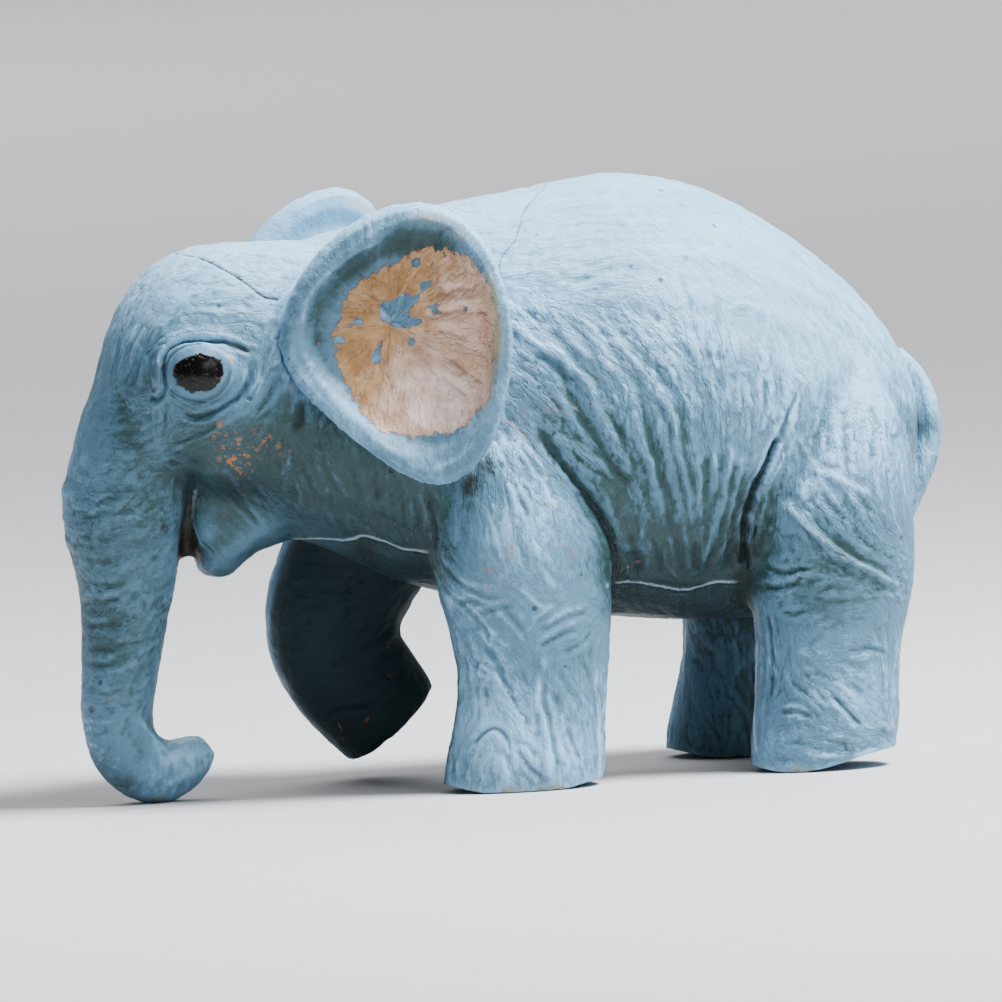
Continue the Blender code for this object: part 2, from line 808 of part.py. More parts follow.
def master_form():
    """The whole animal without ears and tail, as one smooth closed form."""
    half_leg = LEG_WIDTH / 2.0
    parts = [
        tube("torso", bodies_along(TORSO_SHARES, TORSO_WIDTH / 2.0), square=2.25, low_weight=0.06,
             facing=LENGTHWISE),
        tube("head", bodies_along(HEAD_SHARES, HEAD_WIDTH / 2.0), square=2.3, low_weight=0.04,
             facing=LENGTHWISE),
        tube("trunk", bodies_bent(TRUNK_SHARES, TRUNK_WIDTH / 2.0), square=2.1),
        tube("jaw", bodies_bent(JAW_SHARES, JAW_HALF_WIDTH), square=2.1),
        tube("front_left", bodies_upright(FRONT_LEG_SHARES, -1.0, half_leg), facing=UPRIGHT),
        tube("rear_left", bodies_upright(REAR_LEFT_SHARES, -1.0, half_leg), facing=UPRIGHT),
        tube("rear_right", bodies_upright(REAR_RIGHT_SHARES, 1.0, half_leg), facing=UPRIGHT),
        tube("front_right", bodies_raised(RAISED_LEG_SHARES, 1.0, half_leg)),
    ]
    for side in (-1.0, 1.0):
        parts.append(mass("cheek", CHEEK_SHARES, side))
        parts.append(mass("brow", BROW_SHARES, side))
        parts.append(mass("shoulder", SHOULDER_SHARES, side))
        parts.append(mass("thigh", THIGH_SHARES, side))
        parts.append(mass("ear_mount", EAR_MOUNT_SHARES, side))
    form = smooth(remesh(join("master", parts), BLEND_VOXEL), 9)
    return thin_out(form, MASTER_TRIANGLES)


def leg_cutter(name, shares, low_shares, side, grow):
    """A leg's arch beside the core of the torso, with all that hangs below the belly."""
    inside = (CORE_HALF_WIDTH - grow) * side
    low_inside = (LOW_CORE_HALF_WIDTH - grow) * side
    cutter = prism(name, outline_of(shares, grow), inside, FAR * side, CORE_LEAN * side)
    low = prism("low", outline_of(low_shares, grow), low_inside, FAR * side + grow * side)
    combine(cutter, low, "UNION")
    drop(low)
    return cutter


def leg_split(rest, shares, low_shares, side, name):
    """Cut one leg from the rest."""
    cutter = leg_cutter("cutter", shares, low_shares, side, 0.0)
    grown = leg_cutter("grown", shares, low_shares, side, JOINT_GAP)
    return split(rest, cutter, grown, name)


def build():
    clear_scene()
    rest = master_form()

    floor = prism("floor", [(-FAR, -FAR), (FAR, -FAR), (FAR, 0.0), (-FAR, 0.0)], -FAR, FAR)
    combine(rest, floor, "DIFFERENCE")
    drop(floor)
    keep_largest(rest)

    head, rest = split(rest, head_cutter("cutter", 0.0), head_cutter("grown", JOINT_GAP), "head_and_trunk")
    front_left, rest = leg_split(rest, FRONT_ARCH_SHARES, FRONT_LOW_SHARES, -1.0, "front_left_leg")
    front_right, rest = leg_split(rest, RAISED_ARCH_SHARES, RAISED_LOW_SHARES, 1.0, "front_right_leg")
    rear_left, rest = leg_split(rest, REAR_ARCH_SHARES, REAR_LOW_SHARES, -1.0, "rear_left_leg")
    rear_right, rest = leg_split(rest, REAR_ARCH_SHARES, REAR_LOW_SHARES, 1.0, "rear_right_leg")

    saddle, rest = split(
        rest,
        prism("cutter", outline_of(SADDLE_LINE_SHARES), -FAR, FAR),
        prism("grown", outline_of(SADDLE_LINE_SHARES, JOINT_GAP), -FAR, FAR),
        "nape_saddle",
    )
    belly, torso = split(
        rest,
        prism("cutter", outline_of(BELLY_LINE_SHARES), -FAR, FAR),
        prism("grown", outline_of(BELLY_LINE_SHARES, JOINT_GAP), -FAR, FAR),
        "belly_plate",
    )
    torso.name = "torso_shell"

    # The mouth is an open slit; behind it the lower jaw is a piece of its own.
    slit_front = [hundredths(*pair) for pair in MOUTH_LINE_SHARES]
    slit = slit_front + [(x + MOUTH_WIDTH * share, z) for (x, z), share in
                         zip(reversed(slit_front), MOUTH_TAPER_SHARES)]
    mouth = prism("mouth", slit, -FAR, FAR)
    jaw, head = split(
        head,
        prism("cutter", outline_of(JAW_LINE_SHARES), -FAR, FAR),
        prism("grown", outline_of(JAW_LINE_SHARES, JOINT_GAP), -FAR, FAR),
        "lower_jaw",
    )
    combine(jaw, mouth, "DIFFERENCE")
    drop(mouth)
    keep_largest(jaw)

    stations = bodies_bent(TAIL_SHARES, TAIL_HALF_WIDTH)
    room = [(x, y, z, deep + JOINT_GAP, wide + JOINT_GAP) for x, y, z, deep, wide in stations]
    tail = tube("tail", stations, steps=2, sides=TAIL_SIDES)
    tail_room = tube("tail_room", room, steps=2, sides=TAIL_SIDES)
    for piece in (torso, rear_left, rear_right):
        combine(piece, tail_room, "DIFFERENCE")
    drop(tail_room)

    ears = []
    for side, name in ((-1.0, "left_ear"), (1.0, "right_ear")):
        ear = ear_form(name, side)
        pocket = ear_form("pocket", side, JOINT_GAP)
        root = mass("root", EAR_ROOT_SHARES, side)
        root_pocket = mass("root_pocket", EAR_ROOT_SHARES, side, JOINT_GAP)
        combine(ear, root, "UNION")
        for piece in (saddle, head, torso, front_left, front_right):
            combine(piece, pocket, "DIFFERENCE")
            combine(piece, root_pocket, "DIFFERENCE")
        drop(pocket, root, root_pocket)
        ears.append(ear)

    add_eyes(head)

    # Pegs and sockets
    x, z = hundredths(*NECK_PEG_SHARES)
    fit_peg(head, torso, (x, 0.0, z), (1, 0, 0), NECK_PEG_RADIUS, NECK_PEG_LENGTH)
    x, z = hundredths(*SADDLE_PEG_SHARES)
    fit_peg(saddle, torso, (x, 0.0, z), (0, 0, -1), LEG_PEG_RADIUS, LEG_PEG_LENGTH)
    for pair in BELLY_PEG_SHARES:
        x, z = hundredths(*pair)
        fit_peg(belly, torso, (x, 0.0, z), (0, 0, 1), SMALL_PEG_RADIUS, SMALL_PEG_LENGTH)
    for leg, pair, side in (
        (front_left, FRONT_LEG_PEG_SHARES, -1.0),
        (front_right, RAISED_LEG_PEG_SHARES, 1.0),
        (rear_left, REAR_LEG_PEG_SHARES, -1.0),
        (rear_right, REAR_LEG_PEG_SHARES, 1.0),
    ):
        x, z = hundredths(*pair)
        out = CORE_HALF_WIDTH + CORE_LEAN * z
        fit_peg(leg, torso, (x, side * out, z), (0, -side, 0), LEG_PEG_RADIUS, LEG_PEG_LENGTH)
    x, z = hundredths(*JAW_PEG_SHARES)
    fit_peg(jaw, head, (x, 0.0, z), (0, 0, 1), SMALL_PEG_RADIUS, SMALL_PEG_LENGTH)
    x, z = hundredths(*TAIL_PEG_SHARES)
    fit_peg(tail, torso, (x, 0.0, z), (-1, 0, 0), SMALL_PEG_RADIUS, SMALL_PEG_LENGTH)

    pieces = [torso, belly, saddle, head, jaw, tail, front_left, front_right, rear_left, rear_right] + ears
    finish(pieces)


def finish(pieces):
    """Centre the figure over the origin, then give each piece its material and shading."""
    for piece in pieces:
        keep_largest(piece)
    xs = [vert.co.x for piece in pieces for vert in piece.data.vertices]
    ys = [vert.co.y for piece in pieces for vert in piece.data.vertices]
    shift = Vector((-(min(xs) + max(xs)) / 2.0, -(min(ys) + max(ys)) / 2.0, 0.0))
    for piece in pieces:
        piece.data.transform(Matrix.Translation(shift))
        piece.data.name = piece.name
        material = bpy.data.materials.new(piece.name)
        material.use_nodes = True
        shader = material.node_tree.nodes["Principled BSDF"]
        shader.inputs["Base Color"].default_value = (0.30, 0.42, 0.48, 1.0)
        shader.inputs["Roughness"].default_value = 0.5
        piece.data.materials.clear()
        piece.data.materials.append(material)
        for face in piece.data.polygons:
            face.use_smooth = True
    print("shift", [round(value, 6) for value in shift])
    for piece in pieces:
        print(piece.name, len(piece.data.polygons))


build()
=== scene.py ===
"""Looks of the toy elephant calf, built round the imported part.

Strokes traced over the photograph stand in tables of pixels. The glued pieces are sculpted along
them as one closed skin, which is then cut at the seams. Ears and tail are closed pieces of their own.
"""

import math

import bmesh
import bpy
import numpy as np
from mathutils import Matrix, Vector
from mathutils.bvhtree import BVHTree


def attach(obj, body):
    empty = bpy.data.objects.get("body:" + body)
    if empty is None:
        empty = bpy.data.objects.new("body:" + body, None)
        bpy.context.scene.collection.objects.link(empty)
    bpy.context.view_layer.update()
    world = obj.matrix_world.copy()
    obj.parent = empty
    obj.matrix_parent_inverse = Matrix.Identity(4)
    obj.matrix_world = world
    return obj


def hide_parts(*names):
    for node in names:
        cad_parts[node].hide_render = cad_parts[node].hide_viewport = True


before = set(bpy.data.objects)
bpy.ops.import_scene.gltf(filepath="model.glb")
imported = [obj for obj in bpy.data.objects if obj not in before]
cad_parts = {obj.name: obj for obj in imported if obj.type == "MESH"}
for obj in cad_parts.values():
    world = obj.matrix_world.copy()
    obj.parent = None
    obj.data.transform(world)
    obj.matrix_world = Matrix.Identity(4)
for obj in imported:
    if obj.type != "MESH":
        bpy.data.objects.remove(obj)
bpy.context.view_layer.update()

MM = 0.001
TINY = 1e-9                     # keeps a length that is divided by above zero
WELD = 0.0005 * MM

# Camera: it looks slightly from the front and from above, and is rolled a little
IMAGE = 1002                    # side of the photograph in pixels
PIXELS_PER_MM = 9.1
CAMERA_AZIMUTH = math.radians(-15.0)
CAMERA_ELEVATION = math.radians(3.5)
CAMERA_ROLL = math.radians(2.6)
CAMERA_DISTANCE = 1500.0 * MM
CAMERA_CLIP = (10.0 * MM, 100.0)
LOOK_AT = Vector((-0.69, 0.0, 30.55)) * MM
SENSOR = 36.0
LENS = SENSOR * PIXELS_PER_MM * (CAMERA_DISTANCE / MM) / IMAGE
PIXEL_SLOPE = SENSOR / LENS / IMAGE

# Forms of the pieces
SKIN_NODES = ("torso_shell", "belly_plate", "nape_saddle", "head_and_trunk", "lower_jaw",
              "front_left_leg", "front_right_leg", "rear_left_leg", "rear_right_leg")
SKIN_VOXEL = 0.34 * MM
EAR_VOXEL = 0.24 * MM
TAIL_VOXEL = 0.26 * MM
EVEN_OUT = (14, 0.6, 0.62)      # rounds, step and back step that smooth the voxels away
CLOSE_GAP = 0.25 * MM           # swell that closes the glue lines
WALL = 0.9 * MM                 # thickness of the moulded skin
INSIDE_RATIO = 0.53             # share of the faces that is left when the inner wall gets fewer
SHARP_ANGLE = math.radians(60.0)
# Lip and web that narrow the mouth's slit: middle and half sizes in mm
MOUTH_LUMPS = (((-34.3, 0.0, 30.8), (2.5, 4.9, 4.9)), ((-36.8, 0.0, 31.4), (2.2, 1.6, 5.0)))
# Places where the lip melts into the cheeks, in mm, and how: reach, full reach, rounds
CHEEKS = ((-31.5, -6.0, 33.5), (-31.5, 6.0, 33.5))
CHEEK_MELT = (6.0 * MM, 3.5 * MM, 90)
EYE_MELT = (7.0 * MM, 5.0 * MM, 160)    # the part's own plain lids are smoothed away
EYE_FINER = (8.5 * MM, 5.0 * MM)        # round the eyes the faces are halved within these reaches
EYEBALL_HALF = (35.0, 28.0)     # half width and height of the eyeball's dome in pixels
EYEBALL_RISE = 0.95 * MM
EYEBALL_REACH = 6.5 * MM
EAR_DISH_DEPTH = 1.15 * MM
EAR_RIM_RISE = 0.35 * MM
LOBE_RISE = 0.9 * MM            # the far ear's lobe is full where the near one's is dished
LOBE_SHIFT = np.array((0.0, 1.1, 0.7)) * MM     # and it leans out and stands a little higher
SEEN_GAP = 1.2 * MM             # a place is seen where the camera's ray meets the ear this near to it

# Strokes
LINE_STEP = 2.0                 # pixels between the places of a drawn line
SHORTEST = 0.001 * MM           # a shorter piece of a line has no direction
JUMP = 1.6 * MM                 # a drawn line breaks where it leaps further than this
MIRROR_GAP = 1.4 * MM           # a mirrored line breaks where the far side lies further off
LINE_REACH = 1.2 * MM           # how far the signed distance to a line is kept
FOLD_WIDTH = 0.52 * MM          # one unit of the folds' widths
FOLD_RISE = 0.76 * MM           # one unit of their heights
FOLD_NARROWEST = 0.29 * MM
# How far strokes wander and over what length, in mm: folds, crisp lines, and folds of the ears
FOLD_SHAKES = ((0.24, 2.4), (0.12, 0.9))
LINE_SHAKES = ((0.07, 1.1),)
EAR_SHAKES = ((0.15, 1.8),)
SHAKE_SEEDS = (11, 12, 13)      # across, deep and up

# Wrinkles along the flow: size across and reach along it, height in mm, width of their valleys, seed
SKIN_WRINKLES = ((1.2, 2.6, 0.13, 0.34, 3), (0.62, 1.3, 0.07, 0.45, 5))
EAR_WRINKLES = ((1.2, 2.2, 0.075, 0.45, 31), (0.6, 1.2, 0.04, 0.5, 33))
TAIL_WRINKLES = ((1.1, 2.4, 0.09, 0.45, 41),)
# Fine unevenness between them: height and size in mm, seed
SKIN_GRAIN = ((0.035, 1.1, 9), (0.02, 0.6, 19))
EAR_GRAIN = ((0.015, 0.9, 35),)
TAIL_FLOW = np.array((0.25, 0.0, -0.97))
FLOW_CELL = 2.0 * MM            # the flow is worked out once for each cell of this size
FLOW_REACH = 1.3 * MM           # and a stroke counts fully within this distance
FLOW_FLATTEN = np.array((1.0, 0.15, 1.0))       # the part across the figure counts little
# How hollow a place is before it counts as fully so: against its neighbours, more widely, and as a bowl
FINE_HOLLOW, WIDE_HOLLOW, BOWL = 0.05 * MM, 0.16 * MM, 0.30 * MM
# Fixed directions along which the materials' streaks run
DIRECTIONS = np.array(((1.0, 0.0, 0.0), (0.0, 0.0, 1.0), (0.7071, 0.0, 0.7071), (0.7071, 0.0, -0.7071)))


# Tables of strokes and spots
def rows(text):
    """A table written as text: a row a line or between semicolons, of numbers and of pixels x,y."""
    table = []
    for line in text.replace(";", "\n").splitlines():
        words = line.partition("#")[0].split()
        if words:
            table.append([tuple(map(float, word.split(","))) if "," in word else float(word)
                          for word in words])
    return table


# Folds in the skin: width and height in units of FOLD_WIDTH and FOLD_RISE, below zero a hollow, then
# pixels of the photograph's frame. The far side carries the same folds.
FOLDS = rows("""
# flank: hollows between the long folds
1.1 -0.4 531,349 552,361 569,381 574,407 586,429 601,450 614,464 628,486
1 -0.34 522,311 536,322 558,340 569,354 583,366 597,380 604,395 615,424 626,450
1.2 -0.42 594,324 604,336 615,352 626,370 638,388 646,410 648,429 655,452 661,476 666,498 667,521 671,541
0.9 -0.28 601,311 615,322 626,336 638,349 651,363 661,375 672,392 680,412 683,432 686,452 690,475 695,492
0.8 -0.24 645,306 661,322 670,336 681,350 690,362
0.8 -0.2 685,293 692,306 697,331 704,349 711,363
0.6 -0.22 717,312 718,340 720,358 723,376
0.6 -0.22 765,368 766,398 765,416
0.6 -0.34 719,453 721,475
0.7 -0.32 706,455 704,482 705,507
0.7 -0.36 736,462 730,490 724,513 719,536 714,560
0.6 -0.3 746,474 741,498 737,512
0.6 -0.22 560,369 569,391 583,410 595,432 604,449
0.6 -0.24 595,388 606,410 621,433 630,455
0.8 -0.22 553,270 572,281 592,276
# flank: crests
0.9 0.34 515,324 531,340 549,352 563,365 576,370 586,384 590,402 598,420 606,440
0.7 0.3 533,365 544,377 552,391 565,404 576,420 586,438
0.9 0.38 603,363 617,369 627,383 633,403 640,427 646,446 650,467 655,490 661,513 667,531 674,546
0.8 0.34 652,391 664,403 672,414 675,433 679,455 684,475 689,495 690,513 694,527
0.6 0.24 693,459 698,475 701,498 699,513 705,523
0.6 0.22 713,450 715,475 713,495
0.9 0.4 733,444 730,467 722,490 716,510 710,536 704,559 701,576
0.6 0.28 742,453 739,482 733,505 730,524 725,541 721,564
0.7 0.26 560,433 575,449 588,464 600,472
0.7 0.24 560,310 578,318 596,330 612,348
0.6 0.2 640,318 655,332 668,350 678,366
0.6 0.2 711,318 713,345 716,372
0.6 0.22 761,345 762,372 760,398
# faint ridges over the back
0.5 0.14 557,207 595,202 635,200
0.5 0.14 540,225 577,212 620,212
0.5 -0.12 545,232 580,222 625,222
0.5 0.14 557,245 595,237 645,237
0.5 0.14 542,257 570,252 615,257
0.5 -0.14 540,264 568,261 600,264
0.5 0.14 527,268 550,272 577,277 612,271
0.5 0.16 568,294 600,282 628,272
0.5 -0.16 560,288 590,276 616,266
0.5 0.14 652,215 670,227 686,240
0.5 -0.16 677,268 687,298 696,318
0.5 0.14 668,272 678,300 688,322
0.7 -0.16 710,272 714,295 716,318
0.6 0.2 768,310 766,330 763,348
0.5 0.16 755,270 770,285 784,302
0.5 0.14 715,243 735,258 757,275
0.6 0.2 841,337 838,370 836,398
0.5 0.16 805,315 825,327 846,336
0.5 0.16 724,312 744,301 760,312
0.5 0.16 788,375 806,381 828,388
0.5 0.14 724,371 738,369 752,372
0.5 -0.14 800,330 812,350 818,374
0.5 0.14 852,335 863,356
# low flank, down to the bead
0.6 0.3 640,518 644,545 648,572
0.6 0.3 664,545 669,562 676,578
0.6 0.28 684,522 687,547 690,572
0.6 0.26 622,542 626,560 630,575
0.5 0.26 707,545 704,560 702,575
0.6 -0.32 631,530 635,552 639,575
0.6 -0.32 653,535 658,556 662,576
0.6 -0.32 676,535 680,556 683,574
0.5 -0.28 696,540 696,558 696,576
# behind the near front leg
0.9 -0.62 535,425 542,436 555,455 573,478 588,495 601,514 611,537 616,556 612,580
0.7 0.36 575,470 591,482 603,492 611,510 619,528 626,544 624,564 618,578
0.5 0.24 625,523 632,531 638,553
# hip
0.6 -0.8 779,436 774,443 770,459 761,478 751,498 745,516 744,540 744,572
1.5 -0.55 764,462 752,484 741,502 733,524 733,550 732,574
0.6 -0.36 790,388 794,397 788,414 782,429 778,440
0.7 0.32 786,447 779,466 770,486 762,508 758,530
0.4 -0.26 757,522 753,538 755,556
# rump
0.7 -0.3 823,404 824,422 818,439 814,462
0.7 -0.3 843,404 844,425 843,442 845,456 844,473
0.6 -0.24 844,487 848,511
0.6 -0.24 796,437 802,454 812,463
0.6 0.24 833,398 834,424 832,450 833,466
0.6 0.26 789,437 788,462 788,480
0.7 0.34 794,434 808,458 821,471 836,478 847,482 858,490 874,494
0.6 -0.22 828,463 838,468 852,478 866,484
0.8 0.28 869,352 875,379 882,398 885,419 881,446 877,470 874,493
0.6 -0.2 876,420 872,446 870,465
0.6 0.24 808,474 804,493 805,508
0.5 0.18 853,498 860,512 868,524
0.5 0.5 786,503 799,519 812,532 826,546 840,556 853,562 866,570 880,578 900,586
0.6 -0.2 812,517 824,530 837,540 851,552 866,560 878,567 896,569
0.5 -0.18 832,500 842,512 846,528
0.5 -0.2 793,500 800,508 808,512
# folds above the near hind knee
0.5 -0.36 762,564 777,572 789,572 802,568 814,572
0.6 0.3 763,580 780,580 794,577 804,571
0.5 -0.34 763,588 780,589 792,584 804,574
0.5 -0.24 760,552 770,552
0.5 0.2 789,564 797,547 797,536
0.5 -0.24 783,614 797,616 806,608
0.5 -0.22 803,650 816,641 824,632
0.5 -0.28 845,652 864,648 887,652
0.6 0.26 846,658 860,660 872,658
0.5 0.2 801,653 813,655 831,648
0.45 -0.26 799,671 812,679
0.45 -0.24 805,669 822,676
0.45 -0.26 796,688 811,696
0.6 0.32 808,681 818,688 826,698 832,708 844,719 857,731
0.5 -0.42 832,695 844,707 853,716 861,726
0.5 -0.3 841,682 853,688 864,695
0.5 0.26 840,688 853,697 864,704
0.5 -0.4 778,711 793,709 804,711 814,719
0.6 0.26 782,716 797,716 809,723
0.5 -0.4 766,612 771,632 772,656 770,680 768,700
0.4 -0.2 762,649 764,672 761,684
# brow, eye and bag
0.5 -0.6 161,364 166,350 181,341 201,338 223,341 240,348 252,353
0.9 0.46 151,356 158,343 174,334 196,329 222,332 246,342
0.6 -0.36 166,356 164,376 164,391 156,400 147,397
0.4 -0.3 165,398 164,412 164,426
0.7 0.34 156,358 153,374 155,388
0.5 0.42 171,390 180,400 198,407 217,399 230,384 234,366 231,352
0.6 -0.46 252,360 250,384 236,402 214,413 195,419 182,414
0.9 0.42 262,372 256,396 241,413 221,426 202,437 186,443 172,453
0.7 -0.3 278,372 272,388 264,400 252,412
0.4 -0.24 200,306 216,308 228,303
0.4 -0.2 238,304 254,307
0.4 -0.18 199,317 211,314
0.4 -0.16 167,321 178,312
0.4 -0.14 207,276 221,276
0.5 -0.26 244,320 262,324 259,337
0.5 -0.2 240,330 252,340 262,346
# jaw, mouth corner and throat
0.4 -0.26 167,458 175,463 181,468
0.35 -0.22 177,476 176,488 176,506
0.7 0.28 222,466 237,486 249,503 257,517 266,529
0.5 -0.24 226,493 239,505 252,517 262,527
0.6 -0.2 240,470 254,488 268,504
0.5 0.24 289,452 292,474 297,491 302,509
0.5 0.24 313,443 318,469 326,486 329,498
0.5 0.22 329,459 338,481 348,500
0.5 0.22 360,462 366,484 368,504
0.5 0.24 387,467 389,486 385,505
0.6 -0.16 300,446 305,470 312,494
0.5 -0.14 322,452 330,474 338,496
0.5 -0.14 348,462 356,484 360,506
0.5 -0.14 376,468 378,490 376,512
0.5 -0.14 400,478 404,500 402,522
0.5 -0.2 416,496 420,516 418,536
0.8 -0.4 305,396 300,415 297,432
# rings and bend of the trunk
2.2 -0.4 84,440 78,452 80,464
2.4 0.45 68,476 66,490 70,504
0.6 -0.14 76,468 92,474 114,468
0.6 -0.13 70,512 86,517 108,511
0.6 0.12 74,524 90,529 112,524
0.6 -0.17 82,537 100,541 122,535
0.6 0.13 82,548 98,552 118,547
0.6 -0.17 84,558 98,562 118,557
0.6 -0.14 86,580 104,586 128,579
0.6 0.13 86,591 104,595 122,590
0.6 -0.16 87,600 102,604 122,598
0.6 -0.13 87,622 102,626 118,621
0.6 -0.17 87,646 104,650 128,643
0.6 0.13 87,655 100,658 118,653
0.6 -0.16 87,662 102,666 120,660
0.6 -0.16 87,690 104,694 126,686
0.6 -0.13 87,712 102,717 120,710
0.5 -0.18 150,560 164,552 172,540
0.5 -0.18 144,610 158,602 166,592
0.5 -0.16 140,660 150,654 158,644
1.3 0.5 135,712 144,728 154,741 168,752
1.4 -0.2 124,712 130,732 140,750 152,764
""")

# Folds in the same terms that the far side doesn't have, because its front leg is raised
NEAR_FOLDS = rows("""
# near front leg
0.6 -0.3 518,441 527,455 536,468 545,480
0.5 -0.26 489,455 490,472 494,486
0.5 -0.26 510,474 518,496 524,509 529,519
0.5 -0.26 524,481 531,504 537,516
0.5 -0.24 499,446 507,461 512,478
0.5 0.26 507,484 514,500 517,520 520,529
0.5 0.26 536,440 546,458 556,476
0.6 0.3 550,434 566,451 577,464 590,473 603,480
0.5 -0.22 559,467 566,487
0.5 -0.22 545,478 552,492 556,505
0.4 -0.28 438,556 447,570 460,586 478,594 500,595
0.45 0.22 444,556 455,571 468,582 485,586 503,583
0.4 -0.24 456,606 470,600 484,604 498,614
0.4 -0.22 470,620 484,612 500,606 514,604
0.45 0.24 462,604 476,614 490,628 503,644 514,652
0.4 -0.22 500,604 510,616 520,628 528,640
0.45 0.24 520,640 530,628 541,614 553,606
0.4 -0.22 498,650 510,660 522,672 530,686
0.4 -0.2 462,640 470,654 480,668 492,676
0.4 0.22 477,664 492,674 505,689 519,700
0.35 -0.2 560,655 572,650 584,641 592,630
0.45 0.22 545,628 560,615 575,607 590,602
0.4 -0.2 575,655 585,668 590,684
0.4 0.2 478,700 484,716 481,732
0.4 -0.2 568,725 574,742 577,760
0.45 0.24 560,742 565,760 566,778
0.5 0.24 504,505 507,525 513,545
0.45 0.22 525,520 534,542 539,560
0.4 -0.2 516,532 524,552 530,572
0.4 -0.2 489,520 493,545 500,566
0.4 -0.24 452,596 466,611 479,624 494,640
0.5 0.22 518,586 529,598 547,609
0.5 -0.3 540,630 557,624 569,617 587,611
0.5 -0.26 538,647 555,637 569,631 579,627
0.6 0.3 474,628 486,640 496,650 507,660 521,670
0.4 -0.28 484,645 494,655 501,671 507,683 513,690 512,698 520,706
0.45 -0.34 543,669 545,683 543,697 545,711 550,721 551,735 554,750 558,768
0.8 0.36 537,654 545,667 541,682 538,702 541,715 545,734 547,759 549,780
0.4 -0.26 552,691 559,706 563,717
0.4 -0.28 557,669 564,682 570,691 575,699 580,712
0.6 0.24 556,700 563,716 567,735
0.4 -0.22 487,685 486,702 486,714
0.7 0.24 469,708 463,726 460,744
0.4 -0.2 471,745 480,736 487,730 495,728 502,731 508,739 512,753
0.4 -0.24 511,753 510,766 514,780
0.4 -0.22 524,738 532,751 537,760
0.4 -0.24 521,749 527,766 535,773 542,777
0.4 -0.2 452,752 455,768 452,782
# raised leg
0.6 -0.5 326,718 336,711 348,709 362,709 378,699
0.8 0.3 348,620 339,643 333,667
0.6 -0.24 392,622 382,640 366,652
""")

# Crisp lines: width and height in mm, tone from -1 dark to 1 pale, sides as in drawn_runs, pixels
# Dark tones are painted shade in the grooves, pale tones painted highlight along the raised lines
LINES = rows("""
# groove on the crown
0.17 -0.26 -0.9 3 180,254 199,257 216,264 233,274 249,285 262,296 280,300
# hairline at the shoulder
0.12 -0.07 -0.45 2 551,180 538,193 529,204 522,213 519,231 513,245 502,254 499,266 505,290
# raised bead of the moulding along the belly
0.23 0.32 0.5 2 292,538 309,538 330,538 349,540 366,533 378,539 392,543 404,549 430,551
0.23 0.32 0.5 2 606,586 626,580 646,582 664,587 682,589 698,587 710,582 725,580 742,582
# flash down the front of the near hind leg
0.36 0.22 0.75 2 757,636 756,672 755,703 755,735 757,760
# ridge across the near hind leg
0.22 0.1 0.22 2 804,520 826,541 853,559 880,574 901,584
# crease at the hip
0.3 -0.4 -0.9 2 779,436 774,443 770,459 761,478 751,498 745,516 744,528 745,551 744,567
0.2 -0.14 -0.5 2 797,390 795,400 788,414 783,427 780,437
0.2 -0.14 -0.9 2 757,524 753,538 754,556
# crease behind and before the near front leg
0.3 -0.3 -0.8 1 560,462 573,478 588,495 601,514 611,537 616,556 612,580
0.5 -0.24 -0.4 1 428,488 430,505 432,521 435,534 433,553
# line round the tail's root
0.22 0.1 0.8 2 904,453 922,454 939,453
0.3 -0.34 -0.9 2 906,378 910,398 912,414 907,446
# eyelids and the bag under the eye
0.24 -0.26 -0.7 2 160,366 164,354 171,346 182,341 201,339 223,341 240,346 250,351
0.26 -0.1 -0.3 2 165,358 165,374 165,388 158,398 149,398
0.3 -0.12 -0.4 2 251,360 249,382 235,401 214,413 195,418 182,412
0.24 -0.1 -0.35 2 172,386 181,396 198,401 214,395 227,382 231,366
# corner of the mouth
0.3 -0.3 -1 2 190,472 192,484 190,496 188,508
0.16 -0.1 -0.6 2 199,539 208,547 215,555
# edge of the lip
0.22 0.08 0.28 2 197,488 193,502 193,518 197,534 203,548
# toenails
0.2 -0.1 -0.3 1 471,745 480,736 487,730 495,728 502,731 508,739 512,753
0.18 -0.1 -0.35 2 778,711 793,709 804,711 814,719
0.18 -0.12 -0.6 2 829,694 844,707 853,716 861,726
0.18 -0.16 -0.7 1 326,718 336,711 348,709 362,709 378,699
""")

TAIL_START = 890                # lines that start from this pixel on across are the tail's

# Run of the wrinkles where no fold shows it
HINTS = rows("""
560,200 620,192 690,206 760,240; 530,235 600,226 680,240 750,276; 545,270 610,262 680,280 730,300
790,270 840,330 880,390; 600,190 660,186 720,204; 520,300 536,306 552,320; 770,300 776,340 776,380
810,320 820,360 824,400; 850,340 862,380 868,430; 620,470 634,500 642,540; 690,520 688,545 686,566
86,440 110,446 150,430; 76,470 104,478 160,452; 70,500 100,508 168,474; 74,530 102,538 170,500
80,560 106,568 172,530; 86,590 110,599 170,562; 88,620 112,630 168,594; 88,650 112,660 162,626
88,680 110,690 158,652; 90,710 112,720 152,684; 96,745 120,746 148,718; 120,772 134,756 148,738
165,785 170,765 172,745; 200,768 200,750 198,738; 120,330 128,300 150,276; 104,380 112,350 124,320
100,410 122,408 150,420; 170,290 196,284 228,288; 190,320 216,322 240,316; 280,320 268,350 262,376
205,450 226,460 246,452; 280,410 282,436 276,462; 480,520 486,556 492,590; 520,540 530,570 546,590
575,530 580,560 578,590; 460,640 462,680 458,700; 590,640 592,680 588,720; 520,770 524,784 528,794
800,600 830,604 860,600; 800,740 830,742 870,736; 780,650 784,680 780,700; 880,620 884,650 884,690
300,580 320,576 345,580; 280,620 300,626 330,624; 300,680 320,672 350,668; 690,640 700,660 700,700
705,700 715,730 716,750
""")

